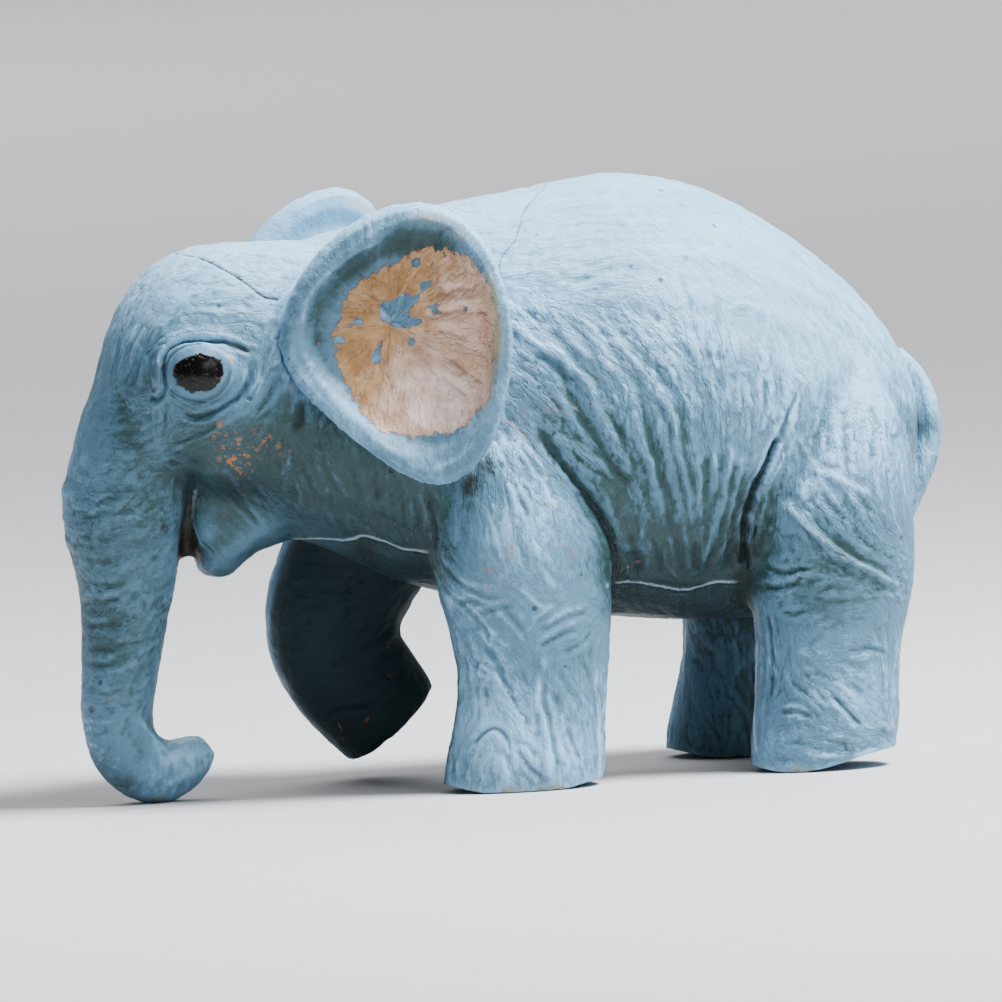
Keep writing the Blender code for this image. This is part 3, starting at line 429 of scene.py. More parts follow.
# Stains: reach in pixels, strength, pixel; the tables down to CALM_PLACES have the same terms
RUST_STAINS = rows("""
22 1 238,456; 14 0.8 222,432; 12 0.8 262,436; 8 0.9 290,382; 8 0.7 283,448; 6 0.8 231,359; 18 0.7 494,580
12 0.7 511,547; 12 0.7 568,552; 14 0.5 549,411; 12 0.5 527,372; 20 0.4 520,430; 12 0.7 892,720
8 0.6 147,386; 9 0.5 112,698; 4 0.4 424,684; 4 0.4 414,704; 4 0.4 402,727; 4 0.4 388,750; 6 0.8 603,700
6 0.8 602,722; 6 0.8 600,745; 5 0.8 598,768; 5 0.9 215,741
""")
BROWN_STAINS = rows("""
13 1 471,484; 10 0.8 488,464; 12 0.7 546,792; 12 0.6 541,778; 16 0.6 850,752; 12 0.6 885,744; 14 0.7 124,788
9 0.5 100,762; 10 0.7 158,372; 10 0.6 277,380; 10 0.6 192,500; 9 0.6 347,748; 5 1 164,527; 4 0.9 101,527
4 0.8 123,680; 4 0.8 143,666; 5 0.9 91,711; 5 0.7 138,759; 4 0.8 123,733; 5 0.8 558,330; 4 0.7 686,258
4 0.6 724,264; 8 0.6 672,745; 9 0.4 204,406; 9 0.35 236,352; 6 0.4 757,486
""")

# Broad darker wash with painted shade, or painted light where the strength is below zero; then the same on
# the ears
WASH_AND_SHADE_SPOTS = rows("""
70 0.8 340,480; 50 0.7 290,440; 60 0.7 410,520; 40 0.6 240,480; 45 0.45 205,430; 60 0.62 640,568
60 0.62 700,568; 45 0.5 620,480; 45 0.5 222,535; 30 0.4 200,460; 60 0.3 575,455; 60 0.3 700,500
60 0.3 860,560; 50 0.3 100,380; 50 0.35 150,460; 40 0.9 746,560; 30 0.7 752,505; 28 0.7 612,556
22 0.6 596,512; 50 0.45 110,420; 60 0.35 100,520; 60 0.35 110,640; 50 0.3 130,740; 60 0.3 820,560
50 0.2 780,620; 36 0.12 458,560; 40 0.2 560,660; 30 0.45 474,484; 30 0.35 150,370; 26 0.3 250,330
50 0.35 560,400; 60 0.3 660,500; 24 0.38 916,428; 50 0.4 160,520; 46 0.35 150,600; 44 0.3 140,680
40 0.4 84,560; 40 0.35 84,640; 60 0.35 330,450; 50 0.2 800,590; 40 0.2 860,610; 36 0.3 780,690
30 0.1 470,512; 36 0.2 590,640; 34 0.8 640,603; 34 0.8 680,603; 30 0.8 716,603; 30 0.7 405,572
26 0.7 434,566; 24 0.6 370,556; 50 0.45 380,480; 44 0.5 290,470; 36 0.4 262,450; 60 0.2 130,600
60 0.2 120,500; 70 0.22 640,420; 22 0.6 726,560; 18 0.5 735,530; 46 -0.35 520,745; 40 -0.25 480,690
40 -0.2 570,760; 30 -0.1 870,690; 40 0.15 820,730; 40 0.2 190,290; 30 0.15 250,300; 44 -0.25 520,520
60 -0.3 700,300; 55 -0.3 765,340; 50 -0.25 825,375; 20 -0.35 929,398
""")
# Painted shade in the ears' dishes, mostly under the rolled rim at the top
EAR_SHADE_SPOTS = rows("""
30 0.25 312,330; 30 0.35 318,292; 30 0.5 350,258; 26 0.7 404,238; 20 0.6 440,240; 24 0.2 322,370
44 0.22 400,464; 34 0.22 460,462
""")

# Deep pockets of painted shadow, nearly black, and smoother stretches of skin
SHADOW_POCKETS = rows("""
11 0.9 744,552; 10 0.9 743,578; 7 0.9 746,526; 8 0.7 750,504; 6 0.5 758,482; 9 0.7 741,598; 10 0.8 471,486
8 0.5 484,470; 9 0.6 613,572; 7 0.5 610,545; 12 0.7 366,549; 8 0.5 434,545; 10 0.5 300,420; 7 0.6 921,428
9 0.5 190,553; 9 0.4 288,400; 8 0.4 690,548; 7 0.35 670,548
""")
CALM_PLACES = rows("""
90 0.45 640,230; 70 0.3 780,290; 60 0.5 190,290; 60 0.55 130,560; 60 0.55 130,660; 50 0.5 160,760
60 0.4 500,560; 60 0.4 540,640; 50 0.15 300,480; 60 0.1 380,500; 40 0.7 230,530; 50 0.4 820,620
40 0.4 480,720; 60 0.5 110,460; 36 0.6 230,450
""")

# Eye: middle, cosine and sine of the painted pupil's tilt, and its half width and height in pixels
EYE_CENTRE = (200.0, 373.0)
EYE_TURN = (0.985, 0.174)
EYE_HALF = (23.8, 17.4)

# Soles that turn up at their edges: node, pixels across where the lift starts and ends, lift in mm
SOLE_LIFTS = (("rear_left_leg", 800, 898, 1.9), ("rear_left_leg", 785, 752, 0.5),
              ("front_left_leg", 560, 603, 0.7), ("front_left_leg", 490, 446, 0.7),
              ("rear_right_leg", 720, 670, 0.9), ("rear_right_leg", 800, 880, 1.2))

# Near ear: middle of its wrinkles, pale patch and top of its rim, then outline, inner edge of the rim,
# edge of the paint, chips in the paint, and folds with their widths and heights in mm
EAR_CENTRE = (392.0, 322.0)
LIGHT_CENTRE, LIGHT_HALF = (440.0, 398.0), (52.0, 42.0)
TOP_RIM = (445.0, 216.0)
EAR_OUTLINE, = rows("""
422,208 450,216 469,233 487,259 504,288 511,320 511,363 506,396 495,424 482,448 465,470 450,481 430,487 \
409,476 387,463 357,439 324,415 303,396 283,379 277,366 283,331 296,303 313,277 335,253 361,236 383,220 \
409,211
""")
EAR_DISH, = rows("""
422,229 443,231 461,240 478,257 491,281 497,309 500,345 494,382 484,412 470,436 450,452 424,456 398,450 \
372,436 346,414 324,388 306,362 298,330 305,292 333,264 363,246 390,233
""")
EAR_PAINT, = rows("""
337,311 344,298 357,283 374,270 391,262 409,253 430,245 450,250 469,255 480,268 489,283 495,307 498,329 \
495,355 493,381 485,402 474,420 461,431 443,436 422,436 400,435 383,433 368,420 357,405 348,389 342,376 \
335,359 336,342 329,332 339,329
""")
EAR_CHIPS = rows("""
378,312 382,300 392,297 400,291 414,293 420,300 408,306 410,314 424,317 425,322 408,326 390,325 379,319
372,358 376,346 383,337 385,342 380,352 388,358 384,363 374,362; 337,338 343,336 344,343 338,344
410,256 420,258 418,268 411,266; 422,279 431,281 429,288 422,287; 430,306 440,303 438,309 431,311
408,338 414,335 412,346 408,347; 355,318 363,316 362,321 356,322
""")
EAR_FOLDS = rows("""
0.5 -0.22 430,297 454,292 487,285; 0.5 -0.22 428,318 456,311 489,313; 0.5 -0.2 430,331 454,335 471,342
0.5 -0.2 441,357 465,370 484,386; 0.4 -0.18 437,374 454,385 467,399; 0.5 -0.16 422,383 422,409
0.5 0.18 432,305 456,301 486,298; 0.5 0.18 434,345 456,352 480,366; 0.5 0.16 404,372 404,400
0.4 -0.14 366,292 384,304 396,312; 0.4 -0.14 352,330 370,326 386,322; 0.4 -0.14 356,372 370,352 384,336
0.6 0.3 300,330 304,300 322,276 350,254 384,238; 0.5 -0.18 310,382 340,412 376,444
0.5 0.2 430,470 456,462 476,440; 0.4 -0.14 352,420 376,436 404,450
""")


def add_object(name, data):
    thing = bpy.data.objects.new(name, data)
    bpy.context.scene.collection.objects.link(thing)
    return thing


def aim(thing, direction):
    """Turn a camera or a light to look along a direction."""
    thing.rotation_mode = "QUATERNION"
    thing.rotation_quaternion = direction.to_track_quat("-Z", "Y")


def make_camera():
    """The camera at the photograph's viewing angle."""
    back = Vector((math.sin(CAMERA_AZIMUTH) * math.cos(CAMERA_ELEVATION),
                   -math.cos(CAMERA_AZIMUTH) * math.cos(CAMERA_ELEVATION), math.sin(CAMERA_ELEVATION)))
    data = bpy.data.cameras.new("camera")
    data.sensor_width = SENSOR
    data.lens = LENS
    data.clip_start, data.clip_end = CAMERA_CLIP
    made = add_object("camera", data)
    aim(made, -back)
    made.rotation_quaternion @= Matrix.Rotation(-CAMERA_ROLL, 3, "Z").to_quaternion()
    made.location = LOOK_AT + back * CAMERA_DISTANCE
    bpy.context.scene.camera = made
    bpy.context.view_layer.update()
    return made


camera = make_camera()
CAMERA_PLACE = camera.location.copy()
CAMERA_TURN = camera.rotation_quaternion.to_matrix()


def ray_through(x, y):
    """Direction from the camera through a pixel of the photograph's frame."""
    across, up = (x - IMAGE / 2) * PIXEL_SLOPE, (IMAGE / 2 - y) * PIXEL_SLOPE
    return (CAMERA_TURN @ Vector((across, up, -1.0))).normalized()


def framed(points):
    """Where places lie in the photograph's frame."""
    local = (points - np.array(CAMERA_PLACE)) @ np.array(CAMERA_TURN)
    return np.stack([IMAGE / 2 - local[:, 0] / local[:, 2] / PIXEL_SLOPE,
                     IMAGE / 2 + local[:, 1] / local[:, 2] / PIXEL_SLOPE], 1)


def to_pixels(points):
    """The same with the far side folded onto the near one."""
    return framed(np.stack([points[:, 0], -np.abs(points[:, 1]), points[:, 2]], 1))


# Mesh helpers
def settle(thing):
    """Replace the object's mesh by what its modifiers make of it."""
    graph = bpy.context.evaluated_depsgraph_get()
    made = bpy.data.meshes.new_from_object(thing.evaluated_get(graph))
    thing.modifiers.clear()
    thing.data = made
    return thing


def voxel_remesh(thing, size):
    step = thing.modifiers.new("remesh", "REMESH")
    step.mode = "VOXEL"
    step.voxel_size = size
    return settle(thing)


def read(items, name, width=1, kind=np.int64):
    """One property of all vertices, edges, loops or faces."""
    values = np.zeros(len(items) * width, kind)
    items.foreach_get(name, values)
    return values.reshape(-1, width) if width > 1 else values


def places(mesh):
    return read(mesh.vertices, "co", 3, float)


def normals(mesh):
    return read(mesh.vertices, "normal", 3, float)


def edge_pairs(mesh):
    return read(mesh.edges, "vertices", 2)


def face_corners(mesh):
    """The faces' corners in one row, and how many each face has."""
    return read(mesh.loops, "vertex_index"), read(mesh.polygons, "loop_total")


def set_places(mesh, points):
    mesh.vertices.foreach_set("co", np.ascontiguousarray(points, float).ravel())
    mesh.update()


def unit(vectors):
    return vectors / np.maximum(np.linalg.norm(vectors, axis=1, keepdims=True), TINY)


def along_skin(ways, facing):
    """Directions laid flat on the skin."""
    return unit(ways - facing * (ways * facing).sum(1, keepdims=True))


def add_around(pairs, values, count):
    """For each point, the sum of its neighbours' values."""
    first, second = pairs[:, 0], pairs[:, 1]
    if values.ndim == 1:
        return (np.bincount(first, values[second], count)
                + np.bincount(second, values[first], count))
    return np.stack([add_around(pairs, values[:, axis], count) for axis in range(values.shape[1])], 1)


def relax(values, pairs, rounds, amount=0.5, back=0.0, hold=None):
    """Even out values over the mesh; a back step keeps the form from shrinking."""
    count = len(values)
    around = np.maximum(np.bincount(pairs.ravel(), minlength=count), 1).astype(float)
    shape = (-1,) + (1,) * (values.ndim - 1)
    for _ in range(rounds):
        for share in ((amount, -back) if back else (amount,)):
            step = (add_around(pairs, values, count) / around.reshape(shape) - values) * share
            if hold is not None:
                step = step * hold.reshape(shape)
            values = values + step
    return values


def soft_normals(mesh, pairs, rounds):
    return unit(relax(normals(mesh), pairs, rounds))


def joined_copy(name, nodes, lumps=()):
    """One welded mesh of several CAD nodes, with lumps added."""
    form = bmesh.new()
    for node in nodes:
        form.from_mesh(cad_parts[node].data)
    bmesh.ops.remove_doubles(form, verts=form.verts, dist=WELD)
    for middle, halves in lumps:
        place = Matrix.Translation(Vector(middle) * MM) @ Matrix.Diagonal((*halves, 1.0))
        bmesh.ops.create_icosphere(form, subdivisions=4, radius=MM, matrix=place)
    mesh = bpy.data.meshes.new(name)
    form.to_mesh(mesh)
    form.free()
    return add_object(name, mesh)


def even_copy(name, node, voxel):
    """A CAD node's form in even faces, with its edges, points and soft normals."""
    thing = voxel_remesh(joined_copy(name, [node]), voxel)
    pairs = edge_pairs(thing.data)
    points = relax(places(thing.data), pairs, *EVEN_OUT)
    set_places(thing.data, points)
    return thing, pairs, points, soft_normals(thing.data, pairs, 3)


def keep_largest(mesh):
    """Drop closed voids and crumbs."""
    pairs = edge_pairs(mesh)
    label = np.arange(len(mesh.vertices))
    while True:
        low = np.minimum(label[pairs[:, 0]], label[pairs[:, 1]])
        new = label.copy()
        np.minimum.at(new, pairs[:, 0], low)
        np.minimum.at(new, pairs[:, 1], low)
        new = new[new]
        if (new == label).all():
            break
        label = new
    names, sizes = np.unique(label, return_counts=True)
    form = bmesh.new()
    form.from_mesh(mesh)
    form.verts.ensure_lookup_table()
    crumbs = [form.verts[number] for number in np.nonzero(label != names[sizes.argmax()])[0]]
    bmesh.ops.delete(form, geom=crumbs, context="VERTS")
    form.to_mesh(mesh)
    form.free()


def refine(mesh, centres, reach):
    """Halve the faces round some places."""
    points, pairs = places(mesh), edge_pairs(mesh)
    inside = near_any(points, centres) < reach
    form = bmesh.new()
    form.from_mesh(mesh)
    form.edges.ensure_lookup_table()
    chosen = np.nonzero(inside[pairs[:, 0]] & inside[pairs[:, 1]])[0]
    bmesh.ops.subdivide_edges(form, edges=[form.edges[number] for number in chosen], cuts=1,
                              use_grid_fill=True)
    form.to_mesh(mesh)
    form.free()


def finder(mesh):
    """Search tree over the mesh's faces."""
    return BVHTree.FromPolygons([tuple(point) for point in places(mesh)],
                                [tuple(face.vertices) for face in mesh.polygons])


def near_any(points, centres):
    """Distance to the nearest of some places."""
    return np.min([np.linalg.norm(points - np.array(centre), axis=1) for centre in centres], axis=0)


def smooth_step(value, low, high):
    share = np.clip((value - low) / (high - low), 0.0, 1.0)
    return share * share * (3.0 - 2.0 * share)


def spot(seen, place, start, end):
    """Rises from zero to one between two distances to a place in the frame."""
    return smooth_step(np.hypot(seen[:, 0] - place[0], seen[:, 1] - place[1]), start, end)


def strongest(seen, table, start, end):
    """The strongest of a table's spots, which start and end at these shares of their reaches."""
    return np.max([strength * spot(seen, place, start * reach, end * reach)
                   for reach, strength, place in table], axis=0)


def layered(seen, table, start, end):
    """A table's spots laid over each other like thin washes."""
    clear = 1.0
    for reach, strength, place in table:
        clear = clear * (1.0 - strength * spot(seen, place, start * reach, end * reach))
    return 1.0 - clear


# Repeatable noise: fixed large numbers mix a corner's place and the seed
def corner_value(ix, iy, iz, seed):
    mixed = (ix * 73856093) ^ (iy * 19349663) ^ (iz * 83492791) ^ (seed * 2654435761)
    mixed = (mixed ^ (mixed >> 13)) & 0x7FFFFFFF
    mixed = (mixed * 1274126177) & 0x7FFFFFFFFFFF
    return ((mixed ^ (mixed >> 16)) & 0xFFFF) / 65535.0


def noise(points, size, seed):
    """Smooth noise from -1 to 1 with spots of about this size."""
    scaled = points / size + 1000.0
    base = np.floor(scaled).astype(np.int64)
    part = scaled - base
    part = part * part * part * (part * (part * 6.0 - 15.0) + 10.0)
    total = np.zeros(len(points))
    for corner in range(8):
        shift = (corner & 1, corner >> 1 & 1, corner >> 2 & 1)
        weight = np.ones(len(points))
        for axis in range(3):
            weight = weight * (part[:, axis] if shift[axis] else 1.0 - part[:, axis])
        total += weight * corner_value(*(base[:, axis] + shift[axis] for axis in range(3)), seed)
    return 2.0 * total - 1.0


def shaken(points, shakes):
    """Places shaken a little, so that drawn lines aren't ruler straight."""
    for amount, size in shakes:
        shifts = [noise(points, size * MM, seed) for seed in SHAKE_SEEDS]
        points = points + amount * MM * np.stack(shifts, 1)
    return points


def fine_noise(points, kinds):
    """Fine unevenness."""
    return sum(rise * MM * noise(points, size * MM, seed) for rise, size, seed in kinds)


# Strokes on the skin
def smooth_path(pixels):
    """Even places along a line of pixels, its corners rounded."""
    path = np.array(pixels, float)
    for _ in range(2):
        cut = np.stack([0.75 * path[:-1] + 0.25 * path[1:], 0.25 * path[:-1] + 0.75 * path[1:]], 1)
        path = np.concatenate([path[:1], cut.reshape(-1, 2), path[-1:]])
    arrive = np.concatenate([[0.0], np.cumsum(np.linalg.norm(np.diff(path, axis=0), axis=1))])
    even = np.linspace(0.0, arrive[-1], max(int(arrive[-1] / LINE_STEP), 3))
    return np.stack([np.interp(even, arrive, path[:, axis]) for axis in (0, 1)], 1)


def mirrored(place):
    return Vector((place.x, -place.y, place.z))


def drawn_runs(tree, pixels, sides):
    """The places on the skin under a line of pixels, in runs without leaps.

    Sides: 1 the near one, 2 both, 3 both and over the middle between them.
    """
    runs, run = [], []
    for x, y in smooth_path(pixels):
        place = tree.ray_cast(CAMERA_PLACE, ray_through(x, y))[0]
        if place is None or (run and (place - run[-1]).length > JUMP):
            runs.append(run)
            run = []
        if place is not None:
            run.append(place)
    runs.append(run)
    drawn = list(runs)
    if sides == 3:
        start = runs[0][0]
        over = [start.lerp(mirrored(start), share) for share in np.linspace(0.0, 1.0, 13)]
        runs.insert(0, [tree.find_nearest(place)[0] for place in over])
    if sides > 1:
        for run in drawn:
            far = []
            for place in run:
                found, _, _, gap = tree.find_nearest(mirrored(place))
                if gap > MIRROR_GAP:
                    runs.append(far)
                    far = []
                else:
                    far.append(found)
            runs.append(far)
    return [np.array(run) for run in runs if len(run) > 2]


def measure(points, facing, run, reach):
    """Points near a run: distance, distance with its side as sign, place along the run, its length."""
    near = np.nonzero(((points > run.min(0) - reach) & (points < run.max(0) + reach)).all(1))[0]
    step = np.diff(run, axis=0)
    length = np.maximum(np.linalg.norm(step, axis=1), TINY)
    way = step / length[:, None]
    arrive = np.concatenate([[0.0], np.cumsum(length)])
    offset = points[near][:, None] - run[:-1][None]
    part = np.clip((offset * way[None]).sum(2), 0.0, length[None])
    gap = np.linalg.norm(offset - way[None] * part[..., None], axis=2)
    best = gap.argmin(1)
    row = np.arange(len(near))
    gap, place = gap[row, best], arrive[best] + part[row, best]
    side = (np.cross(way[best], offset[row, best]) * facing[near]).sum(1)
    keep = gap < reach
    signed = np.where(side < 0.0, -gap, gap)
    return near[keep], gap[keep], signed[keep], place[keep], arrive[-1]


def press(height, points, facing, run, width, rise):
    """Add one fold to the relief; a hollow gets low lips."""
    near, gap, _, place, whole = measure(points, facing, run, 4.0 * width)
    ends = smooth_step(np.minimum(place, whole - place), -0.2 * width, min(2.6 * width, 0.45 * whole))
    shape = np.exp(-(gap / width) ** 1.3)
    if rise < 0.0:
        shape -= 0.3 * np.exp(-((gap - 2.1 * width) / (0.8 * width)) ** 2)
    height[near] += rise * ends * shape


def press_lines(height, points, facing, tree, start, end):
    """Press the crisp lines that start between two pixels across, and list them for their colour."""
    lines = []
    for width, rise, tone, sides, *pixels in LINES:
        if start <= pixels[0][0] < end:
            for run in drawn_runs(tree, pixels, sides):
                press(height, points, facing, run, width * MM, rise * MM)
                lines.append((width * MM, run, tone))
    return lines


def flow_field(points, facing, pairs, marks, ways):
    """Direction of the wrinkles at each point, and how sure it is."""
    keys = np.floor(points / FLOW_CELL).astype(np.int64) + 2048
    _, owner = np.unique((keys[:, 0] * 4096 + keys[:, 1]) * 4096 + keys[:, 2], return_inverse=True)
    count = np.bincount(owner)
    middle = np.stack([np.bincount(owner, points[:, axis]) / count for axis in range(3)], 1)
    corners = [(0, 0), (1, 1), (2, 2), (0, 1), (1, 2), (0, 2)]
    outer = np.stack([ways[:, a] * ways[:, b] for a, b in corners], 1)
    tensor = np.zeros((len(middle), 6))
    for start in range(0, len(middle), 400):
        part = middle[start:start + 400]
        gap = ((part[:, None] - marks[None]) ** 2).sum(2)
        weight = 1.0 / (gap + FLOW_REACH ** 2) ** 2
        tensor[start:start + 400] = weight @ outer / weight.sum(1, keepdims=True)
    field = relax(tensor[owner], pairs, 14)
    full = np.zeros((len(points), 3, 3))
    for number, (a, b) in enumerate(corners):
        full[:, a, b] = full[:, b, a] = field[:, number]
    flat = np.eye(3)[None] - facing[:, :, None] * facing[:, None, :]
    full = flat @ full @ flat
    values, vectors = np.linalg.eigh(full)
    return vectors[:, :, 2], (values[:, 2] - values[:, 1]) / np.maximum(values.sum(1), TINY)


def wrinkles(points, flow, kinds):
    """Noise drawn out along the flow, with narrow valleys where it crosses zero."""
    height = np.zeros(len(points))
    for size, reach, rise, valley, seed in kinds:
        drawn = np.zeros(len(points))
        for share in np.linspace(-1.0, 1.0, 9):
            drawn += noise(points + flow * (reach * MM * share), size * MM, seed)
        drawn /= drawn.std()
        height += rise * MM * (0.4 * drawn - np.exp(-(drawn / valley) ** 2))
    return height


# Fields that the materials read
def line_fields(points, facing, lines):
    """Signed distance to the nearest crisp line over its width, and its strength, dark and pale."""
    fields = {}
    for tone, name in ((-1.0, "dark"), (1.0, "pale")):
        best = np.full(len(points), 9.0)
        signed = np.full(len(points), 6.0)
        strength = np.zeros(len(points))
        for width, run, level in lines:
            if level * tone <= 0.0:
                continue
            near, gap, side, place, whole = measure(points, facing, run, LINE_REACH)
            better = gap / width < best[near]
            near, side, place, gap = near[better], side[better], place[better], gap[better]
            best[near] = gap / width
            signed[near] = side / width
            ends = smooth_step(np.minimum(place, whole - place), -0.1 * MM, min(0.9 * MM, 0.45 * whole))
            strength[near] = abs(level) * ends * smooth_step(gap, LINE_REACH, 0.7 * LINE_REACH)
        fields[name + "_d"] = signed
        fields[name + "_w"] = strength
    return fields


def flow_shares(flow):
    """How much each of four fixed directions agrees with the flow."""
    share = np.abs(unit(flow * FLOW_FLATTEN) @ DIRECTIONS.T) ** 6
    return share / share.sum(1, keepdims=True)


def surface_fields(points, facing, pairs, height, flow, wash_and_shade_table):
    """The fields that every piece has: hollows and bowls for painted shade, flow, facing upwards for painted
    light, stains, wash with painted shade and pockets of painted shadow.
    """
    seen = to_pixels(points)
    fine = relax(height, pairs, 4) - height
    wide = relax(height, pairs, 24) - height
    bowl = ((relax(points, pairs, 50) - points) * facing).sum(1)
    return {"hollow": np.clip(fine / FINE_HOLLOW * 0.45 + wide / WIDE_HOLLOW * 0.45, -1.0, 1.0),
            "deep": np.clip(bowl / BOWL, -1.0, 1.0),
            "flow": flow_shares(flow),
            "upper": smooth_step(facing[:, 2], -0.1, 0.7),
            "rust": strongest(seen, RUST_STAINS, 1.4, 0.2),
            "brown": strongest(seen, BROWN_STAINS, 1.4, 0.2),
            "wash_and_shade": layered(seen, wash_and_shade_table, 1.5, 0.1),
            "pocket": layered(seen, SHADOW_POCKETS, 1.4, 0.5)}


def give_fields(mesh, fields):
    """Keep each field as an attribute of the kind that its width asks for."""
    for name, values in fields.items():
        kind, part = {1: ("FLOAT", "value"), 3: ("FLOAT_VECTOR", "vector"),
                      4: ("FLOAT_COLOR", "color")}[values.size // len(values)]
        mesh.attributes.new(name, kind, "POINT").data.foreach_set(part, values.astype(np.float32).ravel())


# Skin of the glued pieces as one closed form
def make_skin():
    """The nodes of the skin as one even form, its glue lines closed."""
    thing = joined_copy("skin", SKIN_NODES, MOUTH_LUMPS)
    set_places(thing.data, places(thing.data) + normals(thing.data) * CLOSE_GAP)
    mesh = voxel_remesh(thing, SKIN_VOXEL).data
    keep_largest(mesh)
    pairs = edge_pairs(mesh)
    points = relax(places(mesh), pairs, 2)
    set_places(mesh, points)
    set_places(mesh, relax(points - normals(mesh) * CLOSE_GAP, pairs, *EVEN_OUT))
    return thing


def melt(mesh, centres, reach, full, rounds):
    """Smooth the form away round some places; returns the distance to the nearest of them."""
    points = places(mesh)
    gap = near_any(points, centres)
    set_places(mesh, relax(points, edge_pairs(mesh), rounds, 0.8, hold=smooth_step(gap, reach, full)))
    return gap


def press_folds(height, points, facing, tree):
    """Press the folds into the relief; returns the middles and directions of all strokes' pieces."""
    strokes = [(row, 2) for row in FOLDS] + [(row, 1) for row in NEAR_FOLDS]
    strokes += [((0.0, 0.0, *pixels), 2) for pixels in HINTS]
    marks, ways = [], []
    for (width, rise, *pixels), sides in strokes:
        for run in drawn_runs(tree, pixels, sides):
            if rise:
                press(height, points, facing, run, max(width * FOLD_WIDTH, FOLD_NARROWEST), rise * FOLD_RISE)
            step = np.diff(run, axis=0)
            length = np.linalg.norm(step, axis=1)
            good = length > SHORTEST
            marks.append(((run[1:] + run[:-1]) / 2.0)[good][::2])
            ways.append((step[good] / length[good][:, None])[::2])
    return np.concatenate(marks), np.concatenate(ways)


skin = make_skin()
near_eye = finder(skin.data).ray_cast(CAMERA_PLACE, ray_through(*EYE_CENTRE))[0]
eyes = (near_eye, mirrored(near_eye))
for reach in EYE_FINER:
    refine(skin.data, eyes, reach)
melt(skin.data, np.array(CHEEKS) * MM, *CHEEK_MELT)
eye_gap = melt(skin.data, eyes, *EYE_MELT)

tree = finder(skin.data)
base = places(skin.data)
pairs = edge_pairs(skin.data)
facing = soft_normals(skin.data, pairs, 4)
seen = to_pixels(base)
height = np.zeros(len(base))
marks, ways = press_folds(height, shaken(base, FOLD_SHAKES), facing, tree)
line_points = shaken(base, LINE_SHAKES)
lines = press_lines(height, line_points, facing, tree, 0, TAIL_START)
height *= 0.85 + 0.35 * noise(base, 3.0 * MM, 21)

# Eyeballs
right, down = (seen - EYE_CENTRE).T
dome = np.sqrt(np.clip(1.0 - (right / EYEBALL_HALF[0]) ** 2 - (down / EYEBALL_HALF[1]) ** 2, 0.0, 1.0))
dome[eye_gap > EYEBALL_REACH] = 0.0
height += EYEBALL_RISE * dome

# Wrinkles that follow the flow, calmer over the back and where the table says so
flow, sure = flow_field(base, facing, pairs, marks, ways)
back = smooth_step(seen[:, 1], 330.0, 210.0) * smooth_step(seen[:, 0], 480.0, 540.0)
strength = (0.35 + 0.65 * np.clip(sure, 0.0, 1.0)) * (1.0 - 0.55 * back)
strength *= 0.8 + 0.45 * noise(base, 7.0 * MM, 17)
strength *= (1.0 - strongest(seen, CALM_PLACES, 1.3, 0.3)) * smooth_step(dome, 0.25, 0.0)
height += wrinkles(base, flow, SKIN_WRINKLES) * strength + fine_noise(base, SKIN_GRAIN)
height *= smooth_step(base[:, 2], 0.0, 1.2 * MM)
shaped = base + facing * height[:, None]
shaped[:, 2] = np.maximum(shaped[:, 2], 0.0)

# What the materials read, with the shade between the legs and in the mouth
x, y, z = base.T / MM
inner = (smooth_step(-facing[:, 1] * np.sign(y), -0.15, 0.55) * smooth_step(np.abs(y), 1.0, 4.0)
         * smooth_step(z, 31.0, 26.0) * smooth_step(x, -31.0, -27.0)
         * (1.0 - 0.6 * smooth_step(x, 0.0, 10.0)))
fields = surface_fields(base, facing, pairs, height, flow, WASH_AND_SHADE_SPOTS)
fields.update(line_fields(line_points, facing, lines))
fields["inner"] = inner
# The painted shade between the legs joins the wash
fields["wash_and_shade"] = 1.0 - (1.0 - fields["wash_and_shade"]) * (1.0 - inner)
fields["mouth"] = (smooth_step(np.abs(y), 3.6, 2.2) * smooth_step(x, -39.0, -38.2)
                   * smooth_step(x, -34.4, -35.6) * smooth_step(z, 25.4, 26.6) * smooth_step(z, 36.8, 35.8))
fields["worked"] = np.clip(strength, 0.0, 1.0) * (1.0 - 0.75 * inner)
# Painted shade on faces that look down
fields["under"] = smooth_step(-facing[:, 2], 0.1, 0.9) * smooth_step(z, 0.5, 3.0)
fields["eye"] = np.stack([(right * EYE_TURN[0] - down * EYE_TURN[1]) / EYE_HALF[0],
                          (right * EYE_TURN[1] + down * EYE_TURN[0]) / EYE_HALF[1],
                          smooth_step(eye_gap, 7.0 * MM, 5.0 * MM)], 1)


# Cutting at the seams
def node_labels(mesh):
    """For each face, the number of the CAD node that it belongs to."""
    points, faces, owner = [], [], []
    for number, node in enumerate(SKIN_NODES):
        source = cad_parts[node].data
        start = len(points)
        points += [tuple(vert.co) for vert in source.vertices]
        faces += [tuple(start + corner for corner in face.vertices) for face in source.polygons]
        owner += [number] * len(source.polygons)
    search = BVHTree.FromPolygons(points, faces)
    centres = read(mesh.polygons, "center", 3, float)
    return np.array(owner)[[search.find_nearest(Vector(centre))[2] for centre in centres]]


def sole_lift():
    """How far the edges of the soles turn up, which the photograph shows rounded."""
    corners, totals = face_corners(skin.data)
    owner = np.zeros(len(base), np.int64)
    owner[corners] = np.repeat(labels, totals)
    across = framed(base)[:, 0]
    low = smooth_step(base[:, 2], 6.0 * MM, 0.0)
    lift = np.zeros(len(base))
    for node, start, end, rise in SOLE_LIFTS:
        lift += rise * MM * smooth_step(across, start, end) * low * (owner == SKIN_NODES.index(node))
    return lift


